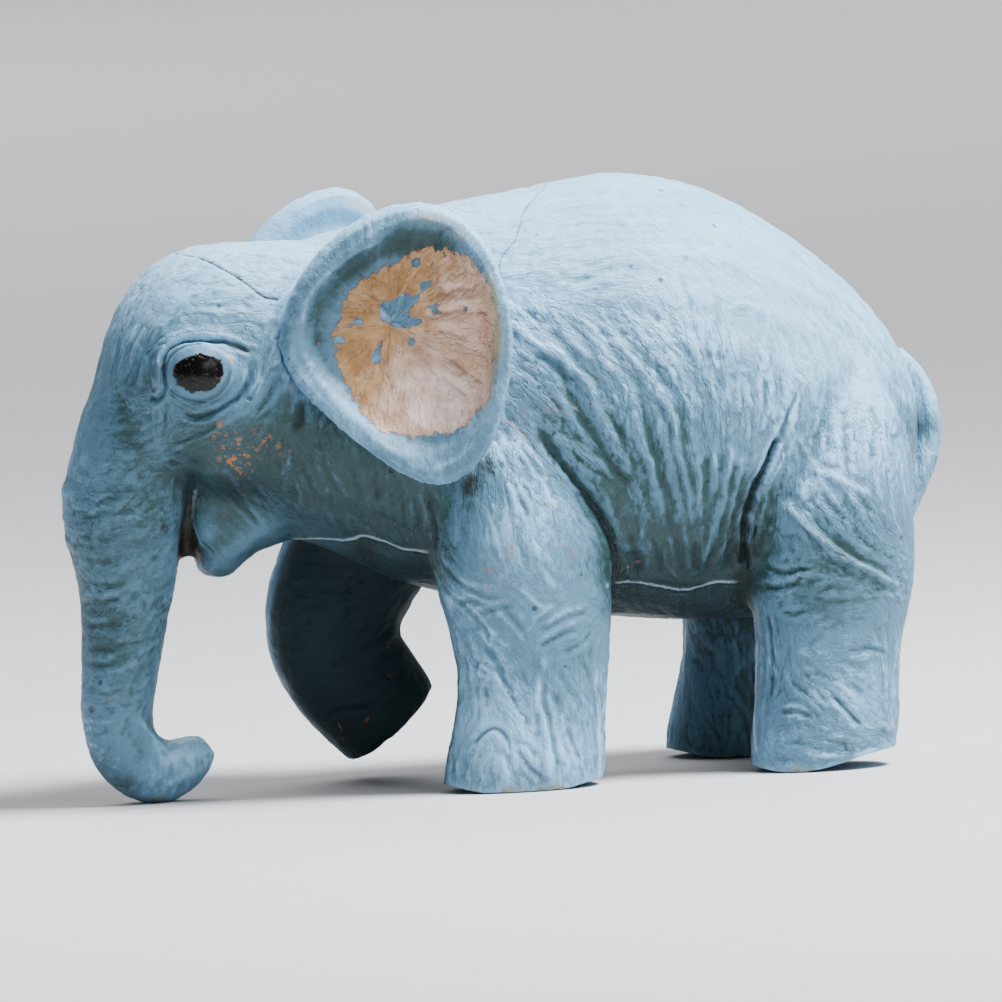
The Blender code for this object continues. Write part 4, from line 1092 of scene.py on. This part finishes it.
def cut_piece(node, wanted):
    """The wanted faces of the skin as a closed moulding, its inner wall in fewer faces."""
    corners, totals = face_corners(skin.data)
    used, corners = np.unique(corners[np.repeat(wanted, totals)], return_inverse=True)
    outer = [tuple(face.tolist()) for face in np.split(corners, np.cumsum(totals[wanted])[:-1])]
    count = len(used)
    inner = [tuple(corner + count for corner in reversed(face)) for face in outer]
    sides = dict.fromkeys(side for face in outer for side in zip(face, face[1:] + face[:1]))
    rim = [(b, a, a + count, b + count) for a, b in sides if (b, a) not in sides]
    points = np.concatenate([places(skin.data)[used], inward[used]]).tolist()
    mesh = bpy.data.meshes.new(node + "_skin")
    mesh.from_pydata(points, [], outer + inner + rim)
    mesh.update()
    give_fields(mesh, {name: np.concatenate([values[used]] * 2) for name, values in fields.items()})
    thing = add_object(node + "_skin", mesh)
    thing.vertex_groups.new(name="inside").add(list(range(count, 2 * count)), 1.0, "REPLACE")
    step = thing.modifiers.new("thin_out", "DECIMATE")
    step.ratio = INSIDE_RATIO
    step.vertex_group = "inside"
    return settle(thing)


def dress(thing, node, material):
    """Shade, paint and attach a finished piece."""
    thing.data.name = thing.name
    thing.data.shade_smooth()
    thing.data.set_sharp_from_angle(angle=SHARP_ANGLE)
    thing.data.materials.clear()
    thing.data.materials.append(material)
    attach(thing, "root")
    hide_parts(node)


labels = node_labels(skin.data)
lift = np.zeros((len(base), 3))
lift[:, 2] = sole_lift()
inward = base - facing * WALL + lift
set_places(skin.data, shaped + lift)


# Materials
class Paint:
    """A material's nodes, added one after the other."""

    def __init__(self, name):
        self.material = bpy.data.materials.new(name)
        self.material.use_nodes = True
        self.tree = self.material.node_tree
        self.shader = self.tree.nodes["Principled BSDF"]
        self.place = self.node("ShaderNodeTexCoord").outputs["Object"]

    def node(self, kind, **settings):
        made = self.tree.nodes.new(kind)
        for key, value in settings.items():
            setattr(made, key, value)
        return made

    def put(self, socket, value):
        if isinstance(value, bpy.types.NodeSocket):
            self.tree.links.new(value, socket)
        else:
            socket.default_value = value

    def filled(self, made, inputs):
        """Fill a node's inputs, given by name or number."""
        for key, value in inputs.items():
            self.put(made.inputs[key], value)
        return made

    def calc(self, operation, *values):
        made = self.node("ShaderNodeMath", operation=operation)
        return self.filled(made, dict(enumerate(values))).outputs[0]

    def times(self, first, second):
        return self.calc("MULTIPLY", first, second)

    def centred(self, value):
        return self.calc("SUBTRACT", value, 0.5)

    def total(self, start, *terms):
        """The start plus each term's value times its amount."""
        for value, amount in terms:
            start = self.calc("MULTIPLY_ADD", value, amount, start)
        return start

    def step(self, value, low, high):
        """A smooth step from zero to one between two levels."""
        made = self.node("ShaderNodeMapRange", interpolation_type="SMOOTHSTEP")
        return self.filled(made, {"Value": value, "From Min": low, "From Max": high}).outputs["Result"]

    def mix(self, share, first, second):
        made = self.node("ShaderNodeMix", data_type="RGBA")
        first, second = ((*value, 1.0) if isinstance(value, tuple) else value for value in (first, second))
        return self.filled(made, {"Factor": share, 6: first, 7: second}).outputs[2]

    def cover(self, share, amount, color, coat):
        return self.mix(self.times(share, amount), color, coat)

    def field(self, name, part="Fac"):
        return self.node("ShaderNodeAttribute", attribute_name=name).outputs[part]

    def noise(self, scale, detail, rough, place=None):
        made = self.node("ShaderNodeTexNoise")
        return self.filled(made, {"Vector": self.place if place is None else place, "Scale": scale,
                                  "Detail": detail, "Roughness": rough}).outputs["Fac"]

    def drawn_out(self, way, stretch):
        """Places squeezed along a direction, so that a texture is drawn out along it."""
        along, back, made = (self.node("ShaderNodeVectorMath", operation=operation)
                             for operation in ("DOT_PRODUCT", "SCALE", "SUBTRACT"))
        self.filled(along, {0: self.place, 1: way})
        self.filled(back, {0: way, "Scale": self.times(along.outputs["Value"], stretch)})
        return self.filled(made, {0: self.place, 1: back.outputs[0]}).outputs[0]

    def brushed(self, scale, stretch):
        """Streaks along the wrinkles."""
        source = self.node("ShaderNodeAttribute", attribute_name="flow")
        shares = self.filled(self.node("ShaderNodeSeparateColor"), {0: source.outputs["Color"]})
        *spots, last = (self.noise(scale, 3.0, 0.6, self.drawn_out(tuple(way), stretch))
                        for way in DIRECTIONS)
        return self.total(self.times(source.outputs["Alpha"], last), *zip(shares.outputs, spots))

    def finish(self, color, rough, relief, specular):
        """Connect the layers to the shader."""
        made = self.filled(self.node("ShaderNodeBump"), {"Height": relief, "Distance": BUMP_DEPTH})
        self.put(self.shader.inputs["Base Color"], color)
        self.put(self.shader.inputs["Roughness"], rough)
        self.put(self.shader.inputs["Normal"], made.outputs["Normal"])
        self.shader.inputs["Specular IOR Level"].default_value = specular
        return self.material


# Colours of the wash with its painted shade and of the vinyl, then of what lies on them
VINYL_DEEP = (0.007, 0.020, 0.024)
VINYL_WASH_SHADE = (0.028, 0.068, 0.072)
VINYL_MID = (0.090, 0.203, 0.300)
VINYL_PALE = (0.300, 0.590, 0.850)
# Painted shade between the legs, then painted highlight along the raised lines
INNER_SHADE = (0.007, 0.018, 0.026)
PALE_LINE = (0.40, 0.56, 0.66)
RUST = (0.42, 0.15, 0.05)
BROWN = (0.040, 0.024, 0.012)
# Painted shadow in the pockets and in the mouth's slit
POCKET_SHADOW = (0.009, 0.013, 0.012)
MOUTH_DARK = (0.012, 0.008, 0.005)
FLOOR_SCUFF = (0.20, 0.17, 0.05)
PUPIL, PUPIL_FLECK = (0.0015, 0.0015, 0.002), (0.12, 0.07, 0.04)
# Darker and paler spots of the ears' paints and of the floor's paper
OCHRE = ((0.33, 0.175, 0.065), (0.52, 0.31, 0.15))
SALMON = ((0.58, 0.36, 0.24), (0.76, 0.54, 0.43))
PINK = ((0.72, 0.50, 0.43), (0.90, 0.74, 0.68))
PAPER = ((0.56, 0.56, 0.58), (0.62, 0.62, 0.64))
# Painted shade in the creases of the ears' paint, then the gilt of their rims
EAR_CREASE = (0.20, 0.085, 0.045)
GILT = (0.46, 0.43, 0.27)
BUMP_DEPTH = 0.20 * MM
# Scale and stretch of streaks along the wrinkles
BRUSH, CRINKLES, EAR_BRUSH = (1500.0, 0.86), (760.0, 0.72), (1000.0, 0.8)
# Scale, detail and roughness of spots
MOTTLE, BLOTCH, GRAIN = (330.0, 4.0, 0.6), (75.0, 3.0, 0.55), (4200.0, 2.0, 0.6)
LINE_RAGS, RUST_SPECKS, STRAY_SPECKS = (1900.0, 3.0, 0.7), (1300.0, 4.0, 0.72), (700.0, 2.0, 0.5)
DIRT_SPOTS, PIT_PLACES, SCUFFS = (900.0, 3.0, 0.7), (260.0, 1.0, 0.5), (330.0, 3.0, 0.65)
PUPIL_RAGS, PUPIL_FLECKS = (1100.0, 4.0, 0.75), (2600.0, 3.0, 0.7)
EAR_RAGS, EAR_SPOTS, PAPER_SPOTS = (900.0, 5.0, 0.75), (420.0, 4.0, 0.65), (260.0, 4.0, 0.6)
PIT_SCALE = 420.0


def vinyl_layers(paint):
    """Colour, roughness and relief of the blue-grey vinyl with its wash, painted shade and painted light."""
    brushed = paint.brushed(*BRUSH)
    crinkle = paint.centred(paint.brushed(*CRINKLES))
    crease = paint.step(paint.calc("ABSOLUTE", crinkle), 0.0, 0.06)
    mottle, blotch, grain = (paint.noise(*spots) for spots in (MOTTLE, BLOTCH, GRAIN))
    worked, hollow, deep, inner = map(paint.field, ("worked", "hollow", "deep", "inner"))
    # Painted shade in hollows, bowls, crinkle valleys and the wash; painted light on upward faces and
    # crinkle crests; then the vinyl's streaks and spots
    level = paint.total(0.42, (hollow, -0.24), (deep, -0.22), (paint.field("upper"), 0.36),
                        (paint.times(crinkle, worked), 0.9), (paint.times(crease, worked), 0.10),
                        (paint.field("wash_and_shade"), -0.62), (paint.centred(brushed), 0.25),
                        (paint.centred(mottle), 0.28), (paint.centred(blotch), 0.34),
                        (paint.centred(grain), 0.22))

    # From the darkest wash and painted shade to the palest brushing and painted light, then painted shade
    # under and between the legs and in the deepest bowls
    color = VINYL_DEEP
    for low, high, shade in ((-0.45, 0.05, VINYL_WASH_SHADE), (0.0, 0.42, VINYL_MID), (0.40, 0.95, VINYL_PALE)):
        color = paint.mix(paint.step(level, low, high), color, shade)
    color = paint.cover(paint.field("under"), 0.8, color, VINYL_DEEP)
    color = paint.cover(inner, 0.88, color, INNER_SHADE)
    color = paint.cover(paint.step(deep, 0.35, 1.0), 0.75, color, VINYL_DEEP)

    # Crisp lines with ragged edges: painted shade in the grooves, painted highlight along the raised lines
    ragged = paint.times(paint.centred(paint.noise(*LINE_RAGS)), 1.1)
    for name, shade in (("dark", VINYL_DEEP), ("pale", PALE_LINE)):
        gap = paint.calc("ADD", paint.calc("ABSOLUTE", paint.field(name + "_d")), ragged)
        line = paint.times(paint.step(gap, 1.25, 0.45), paint.field(name + "_w"))
        color = paint.cover(line, 0.85, color, shade)

    # Rust, dirt, painted shadow in the pockets and the mouth's slit, and pits
    rusty = paint.times(paint.step(paint.noise(*RUST_SPECKS), 0.54, 0.62), paint.field("rust"))
    stray = paint.step(paint.noise(*STRAY_SPECKS), 0.735, 0.775)
    rusty = paint.calc("MAXIMUM", paint.times(rusty, 0.9), paint.times(stray, 0.35))
    color = paint.mix(rusty, color, RUST)
    dirt = paint.times(paint.field("brown"), paint.step(paint.noise(*DIRT_SPOTS), 0.34, 0.62))
    color = paint.cover(dirt, 0.9, color, BROWN)
    color = paint.cover(paint.field("pocket"), 0.85, color, POCKET_SHADOW)
    color = paint.mix(paint.field("mouth"), color, MOUTH_DARK)
    cells = paint.filled(paint.node("ShaderNodeTexVoronoi"), {"Vector": paint.place, "Scale": PIT_SCALE})
    pit = paint.times(paint.step(cells.outputs["Distance"], 0.155, 0.085),
                      paint.step(paint.noise(*PIT_PLACES), 0.56, 0.64))
    color = paint.cover(pit, 0.6, color, VINYL_DEEP)

    rough = paint.total(0.32, (mottle, 0.24), (paint.step(hollow, 0.0, 1.0), 0.12), (inner, 0.25))
    relief = paint.times(paint.total(paint.times(crinkle, 1.8), (crease, 0.45)), worked)
    relief = paint.total(relief, (brushed, 0.7), (mottle, 0.5), (grain, 0.30), (pit, -0.5))
    return color, rough, relief


def make_vinyl():
    """The vinyl with scuffs along the soles and the painted pupils."""
    paint = Paint("vinyl")
    color, rough, relief = vinyl_layers(paint)
    height = paint.filled(paint.node("ShaderNodeSeparateXYZ"), {0: paint.place}).outputs["Z"]
    low = paint.step(height, 1.3 * MM, 0.1 * MM)
    scuffed = paint.times(low, paint.step(paint.noise(*SCUFFS), 0.46, 0.62))
    color = paint.cover(scuffed, 0.8, color, FLOOR_SCUFF)
    eye = paint.filled(paint.node("ShaderNodeSeparateXYZ"), {0: paint.field("eye", "Vector")}).outputs
    squares = [paint.calc("POWER", eye[part], 2.0) for part in ("X", "Y")]
    radius = paint.calc("SQRT", paint.calc("ADD", *squares))
    edge = paint.total(radius, (paint.centred(paint.noise(*PUPIL_RAGS)), 0.75))
    pupil = paint.times(paint.step(edge, 1.04, 0.96), paint.step(eye["Z"], 0.4, 0.6))
    flecks = paint.step(paint.noise(*PUPIL_FLECKS), 0.58, 0.66)
    color = paint.mix(pupil, color, paint.cover(flecks, 0.5, PUPIL, PUPIL_FLECK))
    rough = paint.mix(pupil, rough, paint.total(0.22, (flecks, 0.4)))
    relief = paint.times(relief, paint.total(1.0, (pupil, -0.8)))
    return paint.finish(color, rough, relief, 0.24)


def make_ear_paint():
    """The vinyl with chipped paint in the dish: ochre, then salmon, then pink below."""
    paint = Paint("ear_paint")
    color, rough, relief = vinyl_layers(paint)
    strokes = paint.centred(paint.brushed(*EAR_BRUSH))
    ragged = paint.total(paint.centred(paint.noise(*EAR_RAGS)), (strokes, 1.6))
    edge = paint.total(paint.field("paint_d"), (ragged, 1.8))
    chip = paint.total(paint.field("chip_d"), (ragged, 2.4))
    thin = paint.total(0.30, (paint.step(paint.field("rosy"), 0.7, 0.2), -0.075))
    covered = paint.times(paint.step(edge, -0.12, 0.25), paint.step(chip, 0.14, -0.06))
    covered = paint.times(covered, paint.step(paint.calc("SUBTRACT", thin, ragged), -0.03, 0.05))
    covered = paint.times(covered, paint.field("front"))
    spots = paint.noise(*EAR_SPOTS)
    ochre, salmon, pink = (paint.mix(paint.step(spots, 0.35, 0.65), *pair) for pair in (OCHRE, SALMON, PINK))
    rosy = paint.total(paint.field("rosy"), (strokes, 1.6))
    light = paint.total(paint.field("light"), (strokes, 1.8))
    hollow = paint.total(paint.field("hollow"), (paint.centred(paint.brushed(*BRUSH)), -0.9))
    coat = paint.mix(paint.step(rosy, 0.25, 0.75), ochre, salmon)
    coat = paint.mix(paint.step(light, 0.30, 0.80), coat, pink)
    # Painted shade in the creases of the paint
    coat = paint.cover(paint.step(hollow, 0.05, 0.8), 0.55, coat, EAR_CREASE)
    color = paint.mix(covered, color, coat)
    gilt = paint.times(paint.field("gilt"), paint.step(spots, 0.30, 0.55))
    color = paint.cover(gilt, 0.75, color, GILT)
    rough = paint.mix(covered, rough, paint.total(0.36, (spots, 0.2)))
    return paint.finish(color, rough, paint.total(relief, (covered, 0.6)), 0.28)


vinyl = make_vinyl()
ear_paint = make_ear_paint()
for number, node in enumerate(SKIN_NODES):
    dress(cut_piece(node, labels == number), node, vinyl)
bpy.data.objects.remove(skin)


# Ears
def outline_gap(seen, outline):
    """Distance in mm to a closed outline of pixels, above zero inside."""
    path = np.array(outline)
    for _ in range(2):
        after = np.roll(path, -1, axis=0)
        path = np.stack([0.75 * path + 0.25 * after, 0.25 * path + 0.75 * after], 1).reshape(-1, 2)
    inside = np.zeros(len(seen), bool)
    gap = np.full(len(seen), np.inf)
    for start, end in zip(path, np.roll(path, -1, axis=0)):
        way = end - start
        offset = seen - start
        part = np.clip((offset @ way) / (way @ way), 0.0, 1.0)
        gap = np.minimum(gap, np.linalg.norm(offset - part[:, None] * way, axis=1))
        crosses = (start[1] > seen[:, 1]) != (end[1] > seen[:, 1])
        with np.errstate(divide="ignore", invalid="ignore"):
            reach = start[0] + (seen[:, 1] - start[1]) / way[1] * way[0]
        inside ^= crosses & (seen[:, 0] < reach)
    return np.where(inside, gap, -gap) / PIXELS_PER_MM


def first_seen(search, points):
    """Whether the near ear shows a place to the camera, the far side folded onto the near one."""
    shown = []
    for x, y, z in points:
        place = Vector((x, -abs(y), z))
        hit = search.ray_cast(CAMERA_PLACE, place - CAMERA_PLACE)[0]
        shown.append(hit is not None and (hit - place).length < SEEN_GAP)
    return np.array(shown)


def make_ear(node, side, near_search=None):
    """An ear with dish, rim and paint; the far one (side -1) takes its strokes from the near one."""
    thing, pairs, points, facing = even_copy(node + "_skin", node, EAR_VOXEL)
    mesh = thing.data
    seen = to_pixels(points)
    rim, dish, painted = (outline_gap(seen, outline) for outline in (EAR_OUTLINE, EAR_DISH, EAR_PAINT))
    front = smooth_step(-facing[:, 1] * side, 0.15, 0.55)
    lobe = smooth_step(seen[:, 1], 300.0, 240.0) * (side < 0)
    sunk = smooth_step(dish, -0.3, 1.9) * (0.45 + 0.55 * smooth_step(seen[:, 1], 430.0, 330.0))
    root = smooth_step(seen[:, 0], 400.0, 350.0) * (1.0 - front)
    moved = -EAR_DISH_DEPTH * sunk * (1.0 - root) * (1.0 - lobe) + LOBE_RISE * sunk * front * lobe
    moved += EAR_RIM_RISE * np.exp(-((rim - 1.1) / 0.9) ** 2) * front
    outward = unit(np.array([(-0.25, -0.95 * side, 0.12)]))
    points = points + LOBE_SHIFT * lobe[:, None] + outward * moved[:, None]
    set_places(mesh, points)
    facing = soft_normals(mesh, pairs, 2)
    search = finder(mesh)
    near_search = near_search or search

    # Folds across the dish, and wrinkles that run out from its middle
    height = np.zeros(len(points))
    fold_points = shaken(points, EAR_SHAKES)
    for width, rise, *pixels in EAR_FOLDS:
        for run in drawn_runs(near_search, pixels, 1):
            press(height, fold_points, facing, run * (1.0, side, 1.0), width * MM, rise * MM)
    away = seen - EAR_CENTRE
    turn = np.array(CAMERA_TURN) * [[1.0], [side], [1.0]]
    radial = along_skin(away[:, :1] * turn[:, 0] - away[:, 1:] * turn[:, 1], facing)
    strength = 0.55 + 0.45 * smooth_step(painted, -0.5, 0.8)
    height += strength * wrinkles(points, radial, EAR_WRINKLES) + fine_noise(points, EAR_GRAIN)
    height *= 1.0 - 0.75 * lobe

    values = surface_fields(points, facing, pairs, height, radial, EAR_SHADE_SPOTS)
    values["wash_and_shade"] *= front
    values["pocket"] = np.zeros(len(points))
    values["worked"] = (0.3 + 0.55 * front * smooth_step(painted, -0.9, 0.6)) * (1.0 - 0.6 * lobe)
    # The far ear's lobe: no painted shade of the bowl, and painted light as if it faced upwards
    values["deep"] *= 1.0 - lobe
    values["upper"] = np.maximum(values["upper"], 0.8 * lobe)
    values["paint_d"] = painted
    values["chip_d"] = np.max([outline_gap(seen, chip) for chip in EAR_CHIPS], axis=0)
    values["front"] = front * first_seen(near_search, points)
    values["rosy"] = smooth_step(seen[:, 0] + 0.55 * seen[:, 1], 530.0, 665.0)
    values["light"] = spot(seen / LIGHT_HALF, np.divide(LIGHT_CENTRE, LIGHT_HALF), 1.3, 0.3)
    low_rim = smooth_step(np.abs(dish - 0.2), 0.9, 0.2) * smooth_step(seen[:, 0], 482.0, 494.0) * front
    top_rim = np.exp(-((rim - 0.7) / 0.5) ** 2) * spot(seen, TOP_RIM, 42.0, 10.0)
    values["gilt"] = np.maximum(low_rim, top_rim)
    set_places(mesh, points + facing * height[:, None])
    give_fields(mesh, values)
    dress(thing, node, ear_paint)
    return search


make_ear("right_ear", -1.0, make_ear("left_ear", 1.0))


def make_tail():
    """The tail, with the two lines that end on it."""
    thing, pairs, points, facing = even_copy("tail_skin", "tail", TAIL_VOXEL)
    flow = along_skin(TAIL_FLOW, facing)
    height = wrinkles(points, flow, TAIL_WRINKLES)
    values = surface_fields(points, facing, pairs, height, flow, WASH_AND_SHADE_SPOTS)
    values["worked"] = np.full(len(points), 0.8)
    lines = press_lines(height, points, facing, finder(thing.data), TAIL_START, IMAGE)
    values.update(line_fields(points, facing, lines))
    set_places(thing.data, points + facing * height[:, None])
    give_fields(thing.data, values)
    dress(thing, "tail", vinyl)


make_tail()


# Stage
FLOOR_REACH = 12.0
FIGURE_MIDDLE = (0.0, 0.0, 0.03)
# Area lights: place, target, size, power and colour
LIGHTS = {"key": ((0.22, -0.12, 0.52), FIGURE_MIDDLE, (0.20, 0.20), 11.8, (0.97, 0.985, 1.0)),
          "front": ((0.20, -0.80, 0.40), FIGURE_MIDDLE, (0.4, 0.3), 1.5, (1.0, 0.99, 0.97)),
          "backdrop": ((0.0, 2.8, 2.2), (0.0, 2.8, 0.0), (3.4, 3.4), 130.0, (1.0, 1.0, 1.0))}


def make_floor():
    """A wide sheet of pale paper under the figure."""
    corners = ((-1, -1), (1, -1), (1, 1), (-1, 1))
    mesh = bpy.data.meshes.new("floor")
    mesh.from_pydata([(x * FLOOR_REACH, y * FLOOR_REACH, 0.0) for x, y in corners], [], [(0, 1, 2, 3)])
    floor = add_object("floor", mesh)
    paint = Paint("floor_paper")
    paint.put(paint.shader.inputs["Base Color"], paint.mix(paint.noise(*PAPER_SPOTS), *PAPER))
    paint.shader.inputs["Roughness"].default_value = 0.85
    mesh.materials.append(paint.material)


make_floor()
for name, (place, target, size, power, color) in LIGHTS.items():
    data = bpy.data.lights.new(name, "AREA")
    data.shape = "RECTANGLE"
    data.size, data.size_y = size
    data.energy = power
    data.color = color
    light = add_object(name, data)
    light.location = place
    aim(light, Vector(target) - Vector(place))
world = bpy.data.worlds.new("world")
bpy.context.scene.world = world
world.use_nodes = True
sky = world.node_tree.nodes["Background"].inputs
sky["Color"].default_value = (0.86, 0.88, 0.92, 1.0)
sky["Strength"].default_value = 0.20
